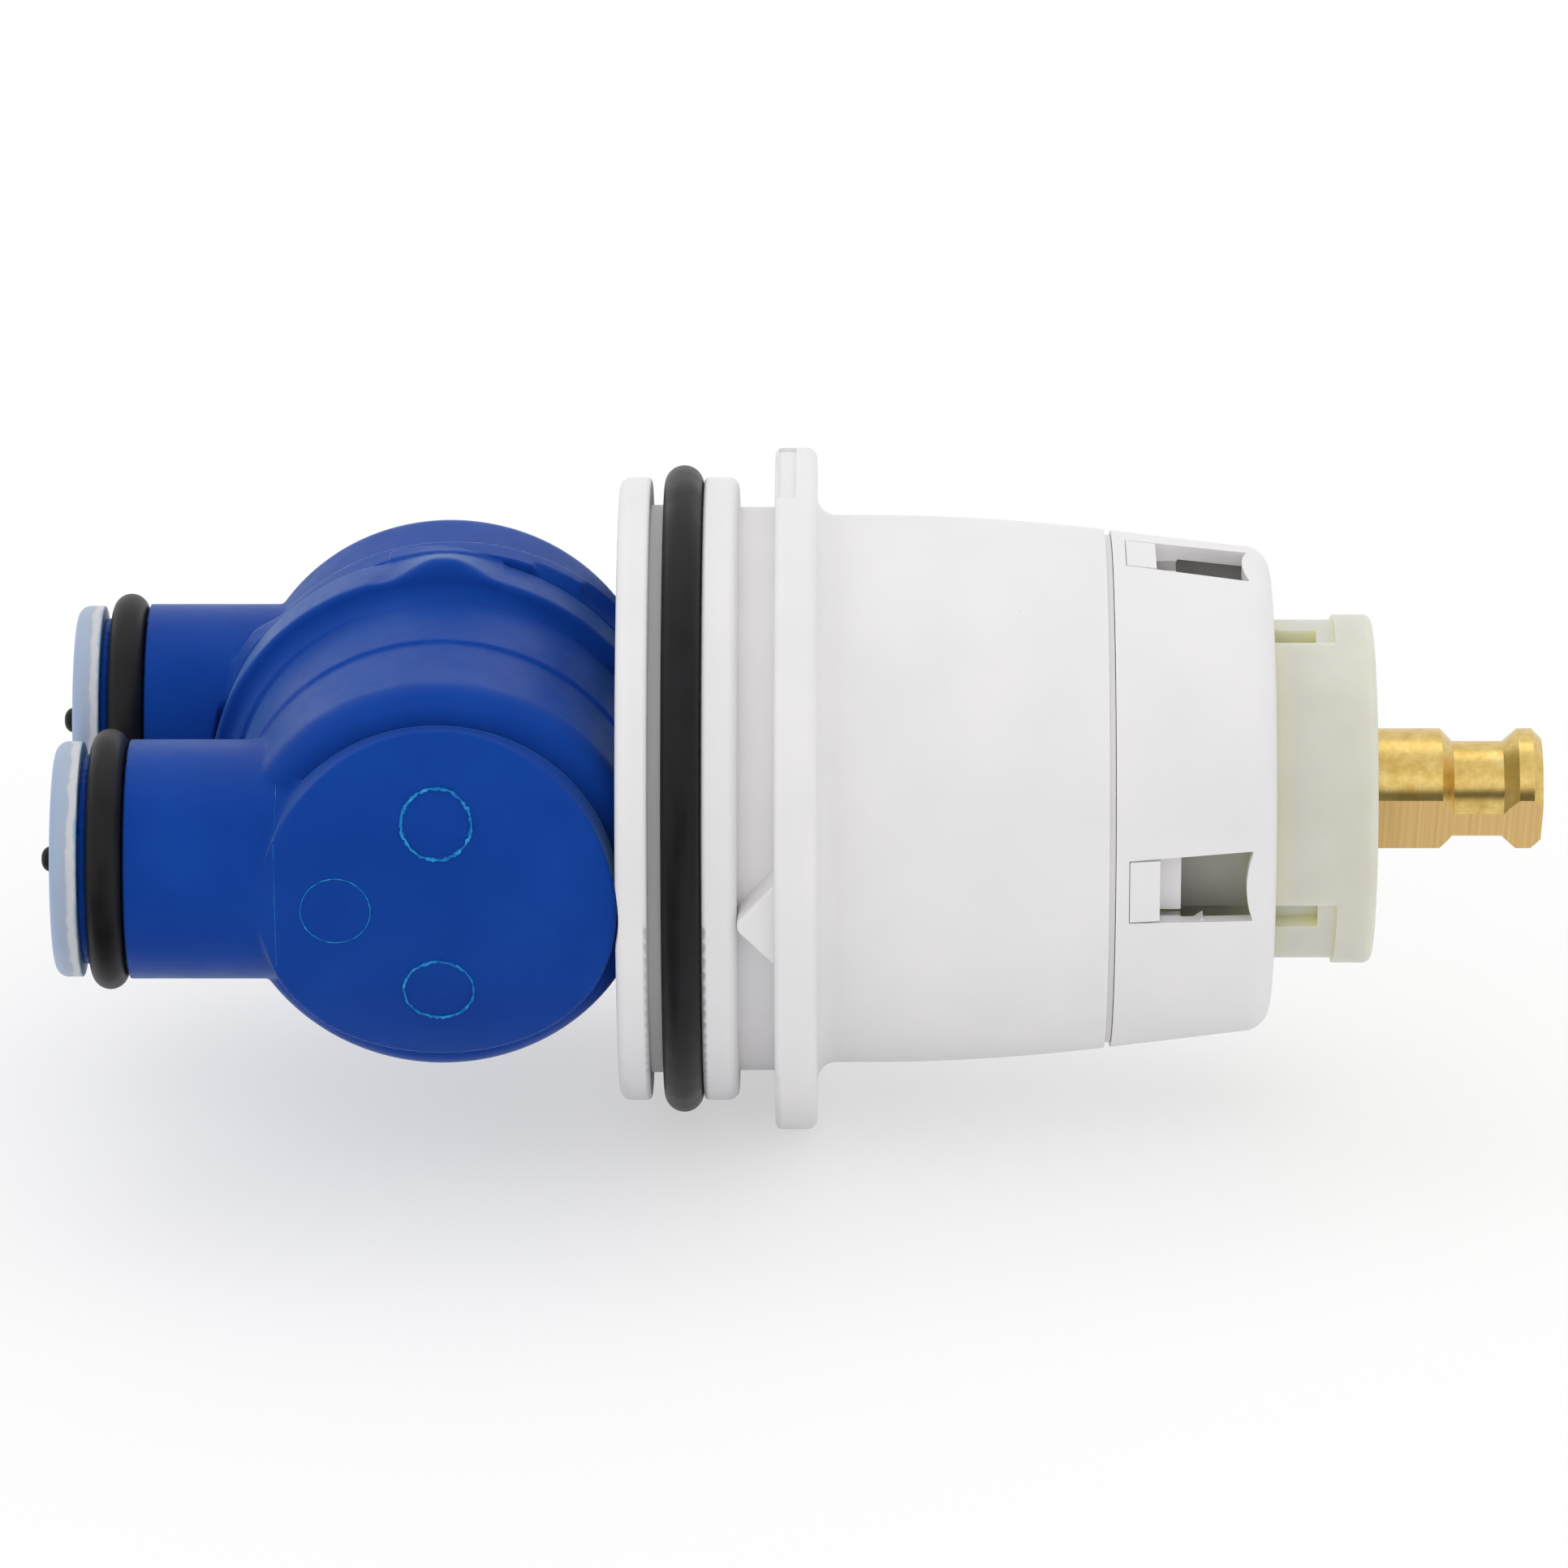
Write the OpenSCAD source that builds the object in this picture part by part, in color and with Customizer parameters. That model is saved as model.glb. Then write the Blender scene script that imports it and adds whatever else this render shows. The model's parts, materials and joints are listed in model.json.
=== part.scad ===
// Shower valve cartridge: a pressure balancing unit plugged into a mixing valve.
// X runs along the long axis towards the brass stem, Y across through both inlets, Z is up.
// The origin is the centre of the flange's seating face.

/* [Valve body] */
// Radius of the clamping flange
flange_r = 25.4; // [24.9:0.1:28]
// Thickness of the clamping flange
flange_t = 3.1; // [2.6:0.1:4]
// Radius of the two seal lips
lip_r = 23.2; // [22.6:0.1:24]
// Radius of the neck between the flange and the rear lip
neck_r = 21; // [19.5:0.1:22]
// Length of that neck
neck_len = 2.7; // [2.2:0.1:5]
// Thickness of the rear lip
rear_lip_t = 2.6; // [2:0.1:4]
// Thickness of the front lip
front_lip_t = 2.35; // [2:0.05:4]
// Section of the body O-ring
body_oring_d = 2.9; // [2.4:0.1:3.2]
// Space beside the body O-ring in its groove
body_groove_play = 1; // [0.6:0.1:2]
// Radius of the floor of the body O-ring groove
body_groove_r = 21.15; // [20.3:0.05:21.6]
// Wall of the body around the barrel, just behind the flange
body_wall = 4.7; // [4.2:0.1:5.8]
// Radius of the curve that the body follows from there to the seam
cone_curve_r = 150; // [120:1:400]
// Place of the seam between the body and the front cap
seam_x = 24.4; // [23:0.1:26]
// Wall of the spigot under the cap
spigot_wall = 1.7; // [1.3:0.1:1.9]
// Length of the spigot under the cap
spigot_len = 5.3; // [4.9:0.1:6]
// Depth of the channels that the stop lugs run in
channel_depth = 0.8; // [0.5:0.1:0.9]
// Thickness of the web between the ports and the discs
web_t = 4.2; // [3.2:0.1:6]
// Place of the web's rear face, where the disc gasket lies
web_x = 0.6; // [0:0.1:1.2]
// Inner radius of the collar around the balancing unit
collar_r = 18.8; // [18.5:0.1:19.4]
// Radius of the pedestal that carries the balancing unit
pedestal_r = 14; // [13:0.1:15]
// Width of the two keys on the flange
key_w = 6.4; // [4:0.1:9]
// Radial reach of the two keys
key_r = 23.8; // [23:0.1:24.8]

/* [Front cap] */
// Gap at the seam between the body and the cap
seam_gap = 0.5; // [0.3:0.05:0.7]
// Depth of the open seam, down to the ledge that the cap stands on
seam_depth = 0.4; // [0.3:0.05:0.8]
// Length of the cap
cap_len = 11.8; // [11.6:0.1:13]
// Fall of the cap's radius for each millimetre of length
cap_taper = 0.12; // [0.04:0.01:0.13]
// Rounding of the cap's outer edge
cap_round = 2; // [1:0.1:2.2]
// Thickness of the cap's end wall
cap_end_t = 1.6; // [1.2:0.1:2.2]
// Wall of the cap beside its windows
cap_wall = 1.1; // [0.9:0.1:1.2]
// Width of a snap window at its near end
window_w0 = 4.96; // [4:0.02:6]
// Width of a snap window at its far end
window_w1 = 5.55; // [4.5:0.05:6.5]
// Distance from the cap's near end to a snap window
window_inset = 0.95; // [0.8:0.05:1.5]
// Length of a snap window
window_len = 9.05; // [7:0.05:9.5]
// Turn of the windows and their hooks about the long axis
window_turn = -1.4; // [-3:0.1:3]
// Length of a snap hook
hook_len = 2.2; // [1.5:0.1:2.6]
// Drop of a snap arm's end behind its hook
arm_end_drop = 0.8; // [0.3:0.1:1]

/* [Balancing unit] */
// Depth that the rim lies behind the front lip's face
rim_sink = 3.75; // [3.2:0.05:3.9]
// Radius of the band beside the rim
band_r = 15.6; // [15.3:0.05:16]
// Place of the small step between the shoulder and the band
step_y = 7.65; // [7.5:0.05:9]
// Height of that step
band_step = 0.25; // [0.1:0.05:0.4]
// Place of the line where the shoulder ends and a button starts
shoulder_y = 16.7; // [16.4:0.1:17.4]
// Rounding of the shoulder
shoulder_round = 2.2; // [1:0.1:2.3]
// Step from the rounded shoulder down to a button
button_step = 0.1; // [0.05:0.05:0.3]
// Height of the crowned buttons from the middle
button_y = 21.5; // [21.2:0.1:23]
// Radius of the buttons' crown
crown_r = 27; // [24:1:60]
// Width of the part of a button's face that slopes off, on the side of the tubes
facet_w = 1.25; // [0.8:0.05:2]
// Slope of that part
facet_slope = 16; // [5:1:30]
// Height of the rim above the band
rim_rise = 1.6; // [1.2:0.1:1.8]
// Offset of the rim's centre from the housing's axis, away from the body
rim_shift = 0.5; // [0:0.1:0.7]
// Place of the rim's left side
rim_y0 = 0.2; // [-1:0.1:1]
// Place of the seam between the two halves
rim_seam_y = 4.9; // [4.2:0.1:5.2]
// Place of the rim's right side
rim_y1 = 7.3; // [6.4:0.1:7.4]
// Fall of the rim's radius from its sides to the seam
rim_draft = 0.4; // [0.1:0.05:0.6]
// Height of the keys on the left half's rim
rim_key_h = 1.5; // [0.8:0.05:1.6]
// Fall of a key's height from the rim's left side to the seam
rim_key_fall = 1.1; // [0.5:0.05:1.2]
// Width of the keys
rim_key_w = 7.6; // [4:0.1:10]

/* [Inlets] */
// Distance between the two inlet tubes
inlet_spacing = 24.5; // [24:0.1:24.9]
// Radius of an inlet tube
inlet_r = 8.79; // [8.6:0.01:8.9]
// Length of an inlet tube from the housing's axis
inlet_len = 26.2; // [23:0.05:30]
// Radius of the bore of an inlet tube
inlet_bore_r = 5.6; // [5.3:0.05:5.8]
// Section of an inlet O-ring
inlet_oring_d = 2.62; // [2.4:0.01:2.7]
// Radius of the floor of an inlet O-ring groove
inlet_groove_r = 6.9; // [6.85:0.05:7.1]
// Radius of the land in front of that groove
inlet_land_r = 7.7; // [7.4:0.05:8.4]
// Width of that land
inlet_land_w = 0.55; // [0.4:0.05:1.2]
// Length of a check valve cage in front of the tube
cage_len = 2.05; // [1.9:0.05:3.5]
// Radius of a check valve cage
cage_r = 8.65; // [8.4:0.05:8.79]
// Rounding of a cage's front edge
cage_round = 0.9; // [0.6:0.05:1]
// Length of a cage's barrel inside the tube
cage_barrel_len = 4.5; // [3.5:0.1:7]
// Radius of the bead that holds an umbrella in its cage
bead_r = 0.75; // [0.7:0.05:1]

/* [Balance spool] */
// Radius of the balance spool
spool_r = 5; // [4.6:0.1:5.4]
// Half of the spool's length
spool_half = 14.9; // [14.3:0.1:14.9]
// Travel of the spool to each side of the middle
spool_travel = 1.5; // [1:0.1:1.5]
// Radius of the spool's two waists
spool_waist_r = 3.6; // [3:0.1:4]
// Outer radius of the balance sleeve
sleeve_r = 8; // [7.6:0.1:8.2]
// Radius of the sleeve's middle flange
sleeve_flange_r = 12.2; // [11.5:0.1:12.3]
// Section of the sleeve's O-rings
sleeve_oring_d = 1.6; // [1.3:0.1:1.7]

/* [Outlet ports] */
// Distance between the two ports from the balancing unit
port_spacing = 13.2; // [12.8:0.1:13.4]
// Radius of the bore of a port
port_r = 2.2; // [1.8:0.1:2.3]
// Outer radius of a port's nipple
nipple_r = 3.6; // [3.2:0.1:3.8]
// Length that a nipple stands in the web's port seat
nipple_seat_len = 1.2; // [0.8:0.1:1.6]
// Section of a port's O-ring
port_oring_d = 1.4; // [1:0.1:1.5]

/* [Discs] */
// Thickness of the disc gasket
gasket_t = 1.5; // [1:0.1:2]
// Thickness of the fixed disc
fixed_disc_t = 4; // [3:0.1:5]
// Thickness of the volume disc
volume_disc_t = 3; // [2.5:0.1:4]
// Thickness of the temperature disc
temp_disc_t = 4; // [3:0.1:5]
// Width of the stop ring around the volume disc
stop_ring_w = 2; // [1.8:0.1:2.4]
// Turn of the volume stem from shut to full flow
volume_turn = 90; // [60:1:95]
// Turn of the temperature stem to each side of the middle
temp_turn = 50; // [30:1:50]
// Angle that a stop lug takes up
lug_angle = 20; // [12:1:24]
// Rim of the volume disc outside its outlet ports
outlet_rim = 1.5; // [1.3:0.1:2.2]
// Radial width of the outlet ports
outlet_w = 2.9; // [2:0.1:2.9]
// Half of the angle of an outlet port
outlet_half = 30; // [20:1:32]

/* [Temperature stem] */
// Radius of the stem outside the cap
temp_stem_r = 12.98; // [12.6:0.01:13.1]
// Place of the stem's front end
temp_stem_end_x = 44.3; // [43.8:0.1:46]
// Width of the ledge between the stem and the barrel around it
stem_ledge = 2.72; // [2.6:0.02:3]
// Length of the front band without recesses
temp_band_len = 2.9; // [2:0.1:3.4]
// Depth of the two recesses
recess_depth = 0.38; // [0.2:0.02:0.6]
// Angle that a recess takes up
recess_angle = 82.3; // [60:0.1:86]
// Angle that a slot takes up
slot_angle = 12.5; // [8:0.5:16]
// Distance from the recess's front end to a slot
slot_inset = 1.4; // [0.8:0.1:2.4]
// Depth of a slot
slot_depth = 1.4; // [0.8:0.1:1.5]
// Length of the flange inside the barrel
temp_flange_len = 13.65; // [13:0.05:14]
// Distance from the flange's rear face to its O-ring groove
temp_seal_inset = 6.6; // [4:0.1:8]
// Section of the temperature stem's O-ring
temp_oring_d = 2; // [1.6:0.1:2.2]
// Wall of the stem's outer tube
temp_wall = 2.05; // [1.6:0.05:2.2]
// Radius of the hub around the brass stem
hub_r = 7.2; // [7:0.1:8]
// Thickness of the wall between the hub and the outer tube
temp_end_t = 1.1; // [0.8:0.1:1.4]
// Depth of the socket in the front end
socket_depth = 3; // [2.6:0.1:3.4]
// Number of teeth in that socket
socket_teeth = 36; // [24:1:44]
// Thickness of the thrust washer
washer_t = 1; // [0.6:0.1:1.4]

/* [Volume stem] */
// Radius of the brass stem
stem_r = 4.5; // [4.3:0.1:4.9]
// Place of the stem's front end
stem_end_x = 57; // [56:0.1:60]
// Radius of the neck behind the head
stem_neck_r = 3.55; // [3.4:0.05:3.9]
// Length of that neck
stem_neck_len = 3.7; // [3:0.1:4.5]
// Length of the head
stem_head_len = 1.8; // [1.5:0.1:3]
// Depth of the drive flat
flat_depth = 1.2; // [0.6:0.05:1.5]
// Direction of the drive flat, counted from +Y towards +Z
flat_angle = 210; // [180:1:240]
// Radius of the collar that keeps the stem in
collar_ring_r = 6.2; // [5.6:0.1:6.3]
// Thickness of that collar
collar_t = 2; // [1.4:0.1:3]
// Distance from the temperature stem's rear face to that collar
collar_inset = 4.3; // [3:0.1:6]
// Distance from the temperature stem's rear face to the first O-ring groove
stem_seal_inset = 12.6; // [9:0.1:14]
// Distance between the two O-ring grooves
stem_seal_pitch = 5; // [3:0.1:7]
// Section of the volume stem's O-rings
stem_oring_d = 1.25; // [1:0.05:1.4]
// Radius of the stem clip
clip_r = 6.1; // [5.6:0.1:6.6]
// Thickness of the stem clip
clip_t = 0.7; // [0.5:0.1:0.9]

/* [Fits] */
// Radial play of a turning fit
turn_play = 0.1; // [0.05:0.01:0.12]
// Radial play of the spool in its sleeve
spool_play = 0.05; // [0.03:0.01:0.08]
// Gap between parts that lie still against each other
seat_gap = 0.05; // [0.03:0.01:0.08]
// Gap between faces that slide over each other
slide_gap = 0.05; // [0.03:0.01:0.08]
// Gap between the balancing unit and the saddle that it lies in
saddle_gap = 0.15; // [0.1:0.01:0.25]
// Gap around a disc in the barrel
disc_gap = 0.3; // [0.2:0.05:0.4]

/* [Hidden] */

$fn = 96;
over = 1;
big = 60;
left = -1;
right = 1;
small_edge = 0.1;
white = "#f2f1f0";
blue = "#1a49a8";
nylon = "#d8d8cc";
black = "#202022";
ceramic = "#efe9dc";

// Radii that follow from the temperature stem
barrel_r = temp_stem_r + stem_ledge;
cone_r = barrel_r + body_wall;

// Places along X in front of the seat
rear_lip_x = -neck_len;
groove_x1 = rear_lip_x - rear_lip_t;
groove_x0 = groove_x1 - body_oring_d - body_groove_play;
front_x = groove_x0 - front_lip_t;
rim_r = band_r + rim_rise;
housing_x = front_x - (rim_r - rim_shift - rim_sink);
web_x0 = web_x - web_t;

// Places along X behind the seat
fillet_r = 1.4;
fillet_run = 2;
cone_x0 = flange_t + fillet_r + fillet_run;
spigot_r = barrel_r + spigot_wall;
spigot_x1 = seam_x + spigot_len;
cap_x0 = seam_x + seam_gap;
cap_x1 = cap_x0 + cap_len;
cap_inner_x = cap_x1 - cap_end_t;
window_x0 = cap_x0 + window_inset;
window_x1 = window_x0 + window_len;
hook_x = window_x0 + seat_gap;
arm_half = window_w0 / 2 - 2 * seat_gap;
fixed_disc_x = web_x + gasket_t + seat_gap;
volume_disc_x = fixed_disc_x + fixed_disc_t + slide_gap;
temp_disc_x = volume_disc_x + volume_disc_t + slide_gap;
temp_flange_x = temp_disc_x + temp_disc_t + slide_gap;
temp_flange_x1 = temp_flange_x + temp_flange_len;
washer_x = temp_flange_x1 + slide_gap;
rib_x = washer_x + washer_t + seat_gap;
band_x = temp_stem_end_x - temp_band_len;
socket_x = temp_stem_end_x - socket_depth;
slot_x1 = band_x - slot_inset;

// Inlets
tube_y = inlet_spacing / 2;
tube_x = housing_x - inlet_len;
tube_groove_x = tube_x + inlet_land_w;
groove_play = 0.2;
inlet_groove_w = inlet_oring_d + groove_play;
cage_x = tube_x - cage_len;
cage_plate_t = 1.1;
cage_plate_x = cage_x + cage_plate_t;
cage_wall = 0.8;
tube_spigot_x = cage_plate_x + seat_gap;
cage_barrel_r = inlet_bore_r - seat_gap;
umbrella_play = 0.3;
umbrella_r = cage_barrel_r - cage_wall - umbrella_play;
stalk_r = 0.5;

// Balancing unit
shoulder_r = band_r - band_step;
button_r = shoulder_r - shoulder_round - button_step;
facet_x = button_r - facet_w;
facet_step = 0.04;
rim_fillet_drop = 0.4;
rim_fillet_r = rim_rise - rim_fillet_drop;
sleeve_play = 0.1;
sleeve_bore_r = sleeve_r + sleeve_play;
sleeve_half = spool_half + spool_travel + sleeve_play;
sleeve_seat_y = sleeve_half + seat_gap;
sleeve_flange_half = 1.4;
sleeve_groove_w = sleeve_oring_d + groove_play;
sleeve_seal_y = 8;
chamber_r = sleeve_flange_r + 2 * sleeve_play;
chamber_y = 5.8;
sleeve_floor_r = sleeve_bore_r - sleeve_oring_d - 2 * seat_gap;
flange_floor_r = chamber_r - sleeve_oring_d - 2 * seat_gap;
port_y = port_spacing / 2;
nipple_gap = 0.8;
nipple_x = web_x0 - nipple_gap;
port_seat_x = nipple_x - nipple_seat_len;
port_seat_r = nipple_r + port_oring_d + 2 * seat_gap;

// Discs
disc_r = barrel_r - disc_gap;
volume_disc_r = barrel_r - stop_ring_w;
disc_notches = [30, 150, 270];
notch_half = 6;
notch_play = 1;
notch_depth = 1.6;
notch_r = disc_r - notch_depth;
temp_lug_at = 270;
lug_len = 2.6;
lug_x = temp_flange_x1 - lug_len;
lug_r = barrel_r + channel_depth - turn_play;
drive_at = [0, 120, 240];
drive_half = 9;
drive_w = 1.8;
drive_r0 = disc_r - drive_w;
outlet_r1 = volume_disc_r - outlet_rim;
outlet_r0 = outlet_r1 - outlet_w;
drive_depth = 1.4;
disc_bore_play = 0.5;
disc_bore_r = stem_r + disc_bore_play;
tooth_at = [50, 230];
tooth_half = 7;
tooth_depth = 0.9;
tooth_r = volume_disc_r - tooth_depth;
tongue_w = 3.4;
tongue_step = 0.6;
tongue_r = stem_r - tongue_step;

// Stems
temp_tube_r = temp_stem_r - temp_wall;
temp_groove_x = temp_flange_x + temp_seal_inset;
temp_groove_w = temp_oring_d + groove_play;
temp_floor_r = barrel_r - temp_oring_d - 2 * seat_gap;
recess_at = [57.85, 237.85];
collar_x = temp_flange_x + collar_inset;
stem_seals = [for (i = [0:1]) temp_flange_x + stem_seal_inset + i * stem_seal_pitch];
stem_groove_w = stem_oring_d + groove_play;
stem_floor_r = stem_r + turn_play - stem_oring_d - 2 * seat_gap;
clip_inset = 1.6;
clip_x = socket_x + clip_inset;
clip_groove_depth = 1;
clip_groove_r = stem_r - clip_groove_depth;
flat_gap = 0.5;
flat_x = clip_x + clip_t + flat_gap;
tongue_x = volume_disc_x + 3 * slide_gap;
shoulder_x = volume_disc_x + volume_disc_t + 2 * slide_gap;

function polar(r, a) = [r * cos(a), r * sin(a)];

// Radius of the body's curved outside at a place along X
function cone_at(x) = cone_r - cone_curve_r + sqrt(pow(cone_curve_r, 2) - pow(x - cone_x0, 2));

// Radius of the cap at a place along X
function cap_at(x) = cone_at(seam_x) - cap_taper * (x - seam_x);

// Turns a profile of radius and X about the long axis
module turned() { rotate([0, 90, 0]) rotate_extrude() children(); }

// Turns a profile of radius and Y about the housing's axis, or about one further from the body
module turned_across(shift = 0) {
    translate([housing_x - shift, 0, 0]) rotate([-90, 0, 0]) rotate_extrude() children();
}

// Extrudes a cross section, drawn in Y and Z, from one X to another
module section(x0, x1) { translate([x0, 0, 0]) rotate([90, 0, 90]) linear_extrude(x1 - x0) children(); }

// Cylinder along X, at a place in Y
module rod_x(x0, x1, r, y = 0) { translate([x0, y, 0]) rotate([0, 90, 0]) cylinder(h = x1 - x0, r = r); }

// Rectangle from corner to corner
module block2(x0, y0, x1, y1) { translate([x0, y0]) square([x1 - x0, y1 - y0]); }

// Rectangle from the axis out to a radius, with its two outer corners rounded
module lip2(x0, x1, r, round0, round1) {
    block2(0, x0, r - max(round0, round1), x1);
    block2(0, x0 + round0, r, x1 - round1);
    block2(0, x0, r - round0, x1 - round1);
    block2(0, x0 + round0, r - round1, x1);
    translate([r - round0, x0 + round0]) circle(round0);
    translate([r - round1, x1 - round1]) circle(round1);
}

// Wedge of a circle from one angle to another
module wedge2(r, a0, a1) {
    steps = ceil((a1 - a0) / 15);
    polygon(concat([[0, 0]], [for (i = [0:steps]) polar(r, a0 + (a1 - a0) * i / steps)]));
}

// Part of a ring between two radii and two angles
module arc2(r0, r1, a0, a1) {
    intersection() {
        difference() {
            circle(r1);
            circle(r0);
        }
        wedge2(2 * r1, a0, a1);
    }
}

// O-ring around X that lies on a floor of the given radius, from a place on
module oring(x, floor_r, d) {
    turned() translate([floor_r + d / 2 + seat_gap, x + d / 2]) circle(d / 2, $fn = 48);
}

// Outline of a flange key: a blunt point that leans on the rear lip
module key_outline() {
    tip_r = 0.9;
    tip_x = -neck_len + tip_r;
    side = tip_r / sqrt(2);
    translate([tip_x, 0]) circle(tip_r);
    polygon([[over, -key_w / 2], [0, -key_w / 2], [tip_x - side, -side], [tip_x - side, side],
        [0, key_w / 2], [over, key_w / 2]]);
}

module flange_key(side) {
    intersection() {
        rotate([side * 90, 0, 0]) linear_extrude(flange_r) key_outline();
        rod_x(-neck_len, flange_t / 2, key_r);
    }
}

// Outer form of the body as a turned profile
module body_profile() {
    groove_edge = 0.35;
    outer_edge = 0.8;
    seat_edge = 0.5;
    curve_steps = 12;
    lip2(front_x, groove_x0, lip_r, outer_edge, groove_edge);
    lip2(groove_x1, rear_lip_x, lip_r, groove_edge, outer_edge);
    block2(0, front_x + over, body_groove_r, rear_lip_x - over);
    block2(0, rear_lip_x - over, neck_r, over);
    lip2(0, flange_t, flange_r, seat_edge, outer_edge);
    block2(0, over, cone_r, cone_x0);
    difference() {
        block2(cone_r - over, flange_t - over, cone_r + fillet_r, flange_t + fillet_r);
        translate([cone_r + fillet_r, flange_t + fillet_r]) circle(fillet_r);
    }
    polygon(concat([[0, cone_x0]],
        [for (i = [0:curve_steps]) let (x = cone_x0 + (seam_x - cone_x0) * i / curve_steps) [cone_at(x), x]],
        [[0, seam_x]]));
    block2(0, seam_x - over, cone_at(seam_x) - seam_depth, cap_x0 - seat_gap);
    block2(0, seam_x - over, spigot_r, spigot_x1);
}

// Channels in the barrel wall that the stop lugs run in, and the slot by which the volume lug goes in
module stop_channels() {
    margin = 0.5;
    half = lug_angle / 2 + margin;
    entry = volume_turn / 2;
    inner = barrel_r - over;
    deep = barrel_r + channel_depth;
    section(volume_disc_x - slide_gap, temp_disc_x + slide_gap) arc2(inner, deep, -half, volume_turn + half);
    section(volume_disc_x, spigot_x1 + over) arc2(inner, deep, entry - half, entry + half);
    section(lug_x - 2 * slide_gap, spigot_x1 + over)
        arc2(inner, deep, temp_lug_at - temp_turn - half, temp_lug_at + temp_turn + half);
}

module outlets2(grow = 0) {
    for (a = [90, 270]) arc2(outlet_r0 - grow, outlet_r1 + grow, a - outlet_half, a + outlet_half);
}

// Ports through the web, seats for the nipples and their O-rings, and the outlets
module body_ports() {
    for (side = [left, right]) {
        y = side * port_y;
        rod_x(web_x0 - over, web_x + over, port_r + seat_gap, y);
        rod_x(housing_x, nipple_x + seat_gap, nipple_r + seat_gap, y);
        rod_x(housing_x, port_seat_x, port_seat_r, y);
    }
    section(front_x - over, web_x + over) outlets2();
}

// Saddle that the balancing unit lies in
module saddle() {
    turned_across() {
        block2(0, -shoulder_y - saddle_gap, shoulder_r + saddle_gap, shoulder_y + saddle_gap);
        block2(0, -step_y - saddle_gap, band_r + saddle_gap, step_y + saddle_gap);
        block2(0, -big / 2, button_r + saddle_gap, big / 2);
    }
    turned_across(rim_shift)
        block2(0, rim_y0 - rim_fillet_r - saddle_gap, rim_r + saddle_gap, rim_y1 + saddle_gap);
}

// Pocket between the collar and the pedestal, with its four ribs
module collar_pocket() {
    rib_w = 1.6;
    rib_drop = 3;
    pedestal_drop = 0.6;
    difference() {
        rod_x(front_x - over, web_x0, collar_r);
        rod_x(front_x + pedestal_drop, web_x0 + over, pedestal_r);
        section(front_x + rib_drop, web_x0 + over)
            for (a = [45, 135]) rotate(a) square([2 * collar_r + over, rib_w], center = true);
    }
}

// Slits beside the snap arms, which let them bend, and the drop behind their hooks
module arm_slits() {
    slit = 0.7;
    start = 0.6;
    for (a = [0:90:270]) rotate([a + window_turn, 0, 0]) {
        for (m = [-1, 1]) translate([seam_x + start, barrel_r - over, m * (arm_half + slit / 2) - slit / 2])
            cube([spigot_len + over, spigot_wall + 2 * over, slit]);
        translate([hook_x + hook_len, spigot_r - arm_end_drop, -arm_half - slit / 2])
            cube([spigot_len, over + arm_end_drop, 2 * arm_half + slit]);
    }
}

// One snap hook, whose top lies flush with the cap
module snap_hook() {
    x1 = hook_x + hook_len;
    foot_r = spigot_r - spigot_wall / 3;
    intersection() {
        turned() polygon([[foot_r, hook_x], [cap_at(hook_x), hook_x], [cap_at(x1), x1], [foot_r, x1]]);
        translate([hook_x - over, 0, -arm_half]) cube([hook_len + 2 * over, cone_r, 2 * arm_half]);
    }
}

module valve_body() {
    gate_depth = 0.3;
    gate_edge = 0.25;
    gate_w = 1.3;
    gate_at = [68, 98];
    lug_root = 0.4;
    lug_half = notch_half - notch_play;
    color(white)
    union() {
        difference() {
            union() {
                turned() body_profile();
                flange_key(left);
                flange_key(right);
            }
            rod_x(web_x, spigot_x1 + over, barrel_r);
            stop_channels();
            collar_pocket();
            saddle();
            body_ports();
            arm_slits();
            // Gate mark on the flange's rim
            section(gate_edge, gate_edge + gate_w)
                arc2(flange_r - gate_depth, flange_r + over, gate_at[0], gate_at[1]);
        }
        for (a = [0:90:270]) rotate([a + window_turn, 0, 0]) snap_hook();
        // Lugs that keep the gasket and the fixed disc from turning
        section(web_x - over / 2, volume_disc_x - 4 * slide_gap) for (a = disc_notches)
            arc2(notch_r + seat_gap, barrel_r + lug_root, a - lug_half, a + lug_half);
    }
}

module body_oring() {
    color(black) oring(groove_x1 - body_oring_d - seat_gap, body_groove_r, body_oring_d);
}

// Window outline in X and width, with its far edge bowed towards the middle
module window_outline() {
    bow_r = 8;
    bow = 0.45;
    difference() {
        polygon([[window_x0, -window_w0 / 2], [window_x1, -window_w1 / 2],
            [window_x1, window_w1 / 2], [window_x0, window_w0 / 2]]);
        translate([window_x1 + bow_r - bow, 0]) circle(bow_r);
    }
}

// Nib on the lower side of a window, in front of the arm's end
module window_nib() {
    nib_len = 1.5;
    nib_h = 1;
    nib_r = spigot_r - arm_end_drop;
    x0 = spigot_x1 + 2 * seat_gap;
    x1 = x0 + nib_len;
    root = 0.7;
    foot = -window_w1 / 2 - root;
    translate([0, nib_r, 0]) rotate([-90, 0, 0]) linear_extrude(cap_at(x1) - cap_wall / 2 - nib_r)
        polygon([[x0, foot], [x1, foot + nib_h], [x1, foot]]);
}

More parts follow.
